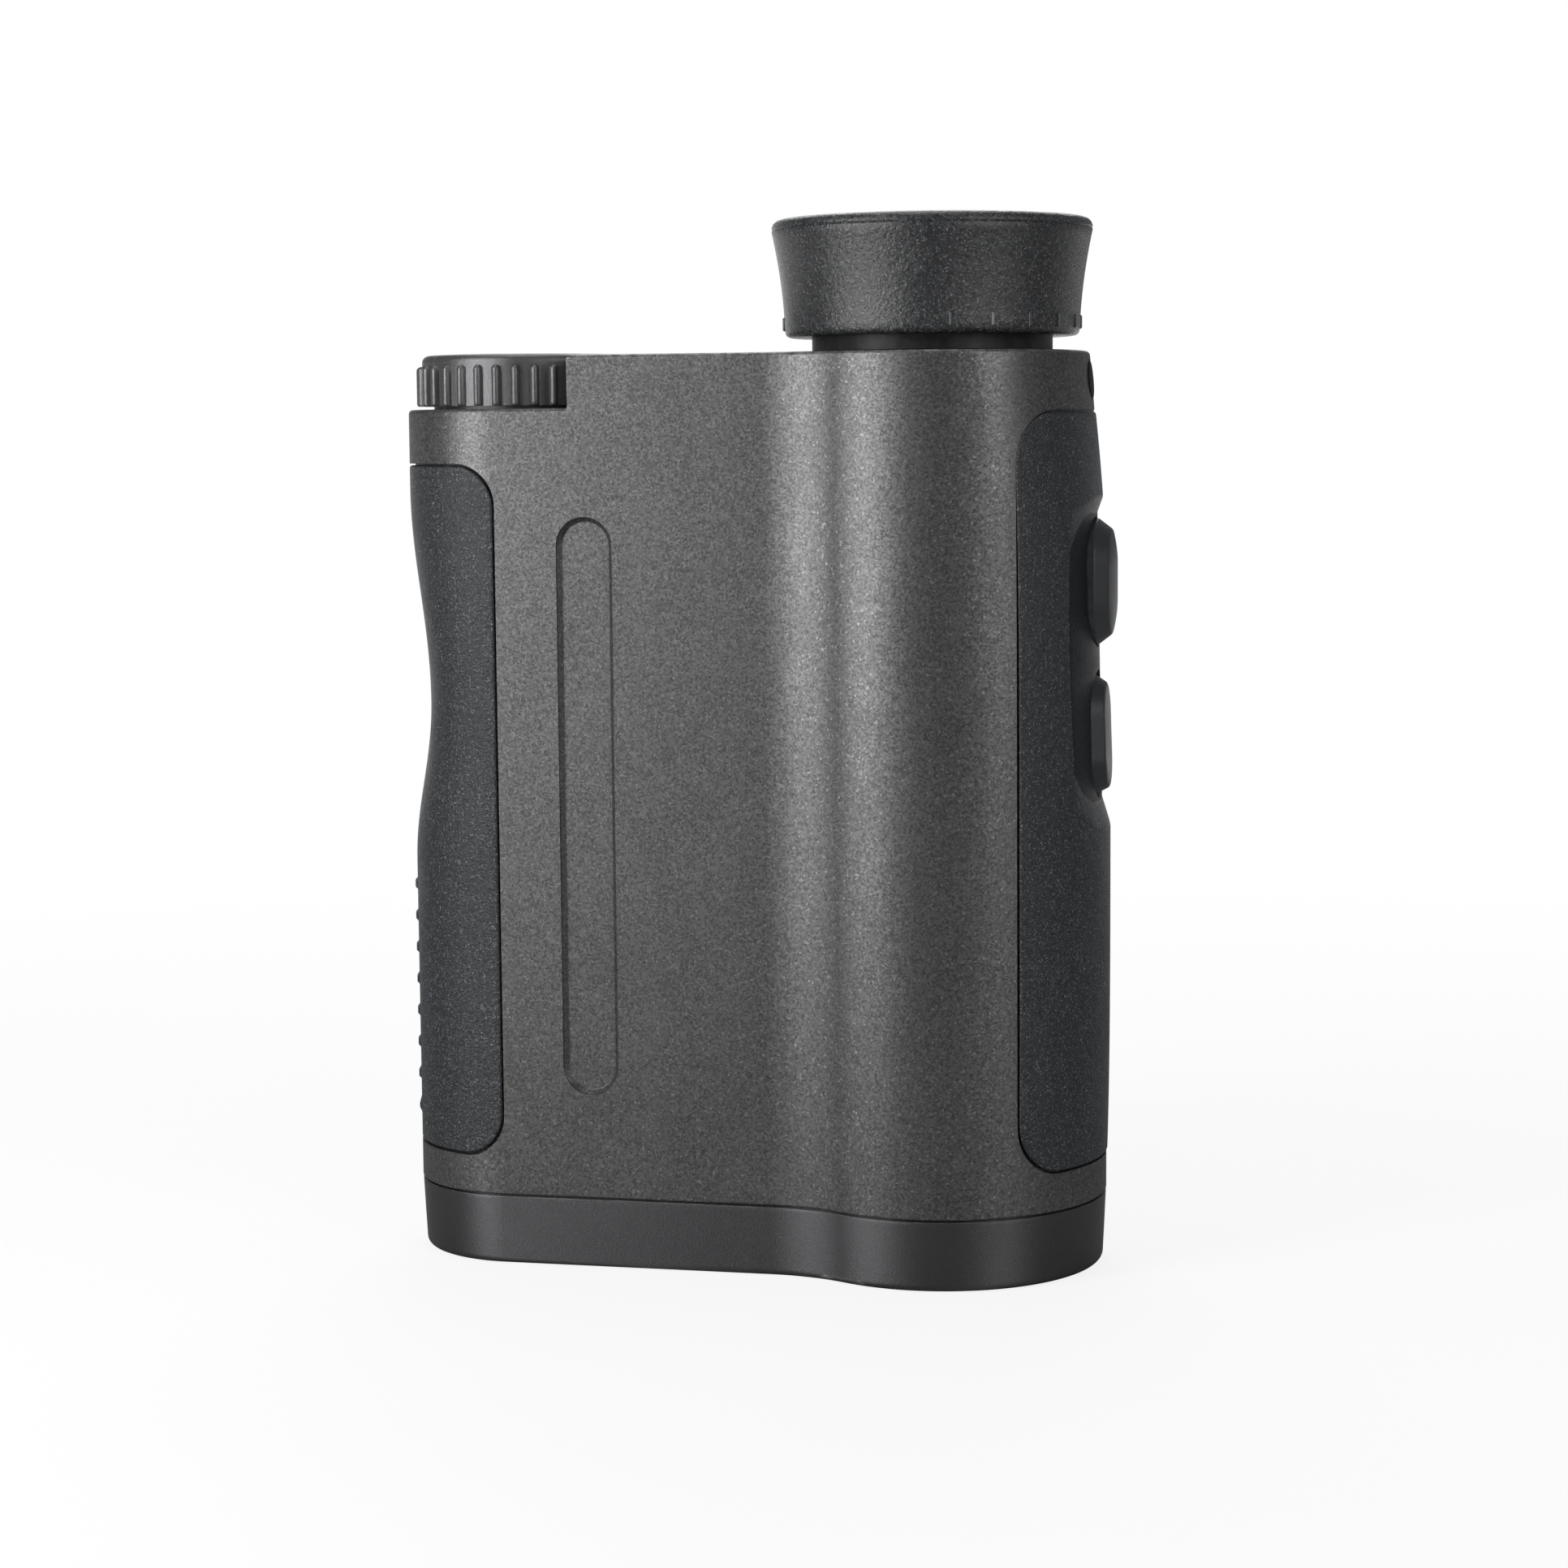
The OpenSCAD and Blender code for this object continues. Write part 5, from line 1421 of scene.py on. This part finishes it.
# %% Badge
def upright_loop(x, r, z, lean, count=64):
    """A circle that faces along X and leans back by lean mm per mm of height."""
    turns = [math.tau * (i + off_axis) / count for i in range(count)]
    return [Vector((x - lean * r * math.sin(a), r * math.cos(a), z + r * math.sin(a))) for a in turns]


badge_lean = side_in(badge_z + 0.5) - side_in(badge_z - 0.5)
dome = [(0.2, 2.0), (0.54, 2.0), (0.62, 1.97), (0.67, 1.88), (0.69, 1.7)]
dome += [(0.705, 1.2), (0.715, 0.6), (0.719, 0.05)]
badge = make_object("side_disc", *skin([upright_loop(badge_x + x, r, badge_z, badge_lean) for x, r in dome]))
dress(badge, "housing", "badge_lacquer", "side_badge", sharp=50)

# %% [markdown]
# ## Lenses
# Coarse lenses would show their facets in every reflection, so the three that can be seen are
# turned again with fine loops. Their curves are the parabolas of the CAD model.


# %% Lenses
def lens(name, node, slot, axis, z, r, edge, low, high, body="housing"):
    """A lens about an upright axis: edge thickness and the bulge of each face."""
    shares = [0.02, 0.12, 0.24, 0.36, 0.48, 0.6, 0.7, 0.8, 0.88, 0.95, 0.99]
    chamfer = 0.05
    profile = [(r * q, z - low * (1 - q * q)) for q in shares]
    profile += [(r, z + chamfer), (r, z + edge - chamfer)]
    profile += [(r * q, z + edge + high * (1 - q * q)) for q in reversed(shares)]
    dress(make_object(name, *skin(turned(axis, profile))), body, slot, node, sharp=40)


front, back = 0.7, 0.9
z = height_of("objective_front_element", 0) + front
lens("objective_lens", "objective_front_element", "objective_glass", eye_x, z, 11.99, 3, front, back)
lens("laser_window_lens", "laser_lens", "laser_glass", bat_x, z, 7.49, 4.2, front, 0.5)
front = 0.4
z = height_of("eye_lens", 0) + front
lens("eye_side_lens", "eye_lens", "eyepiece_glass", eye_x, z, 8.49, 3, front, back, "eyepiece_cell")

# %% [markdown]
# ## Pieces that keep their CAD mesh
# The neck, the rings, the boards and everything else inside already have the right shape, so
# they stay as they are and only get their finish.

# %% Finish the CAD nodes
slots = {part["node"]: part["material_slot"] for part in frame["record"]["subparts"]}
kept = 0
for name, node in frame["nodes"].items():
    if node.hide_render:
        continue
    node.data.materials.clear()
    node.data.materials.append(finishes[slots[name]])
    kept += 1
print("CAD nodes kept:", kept)
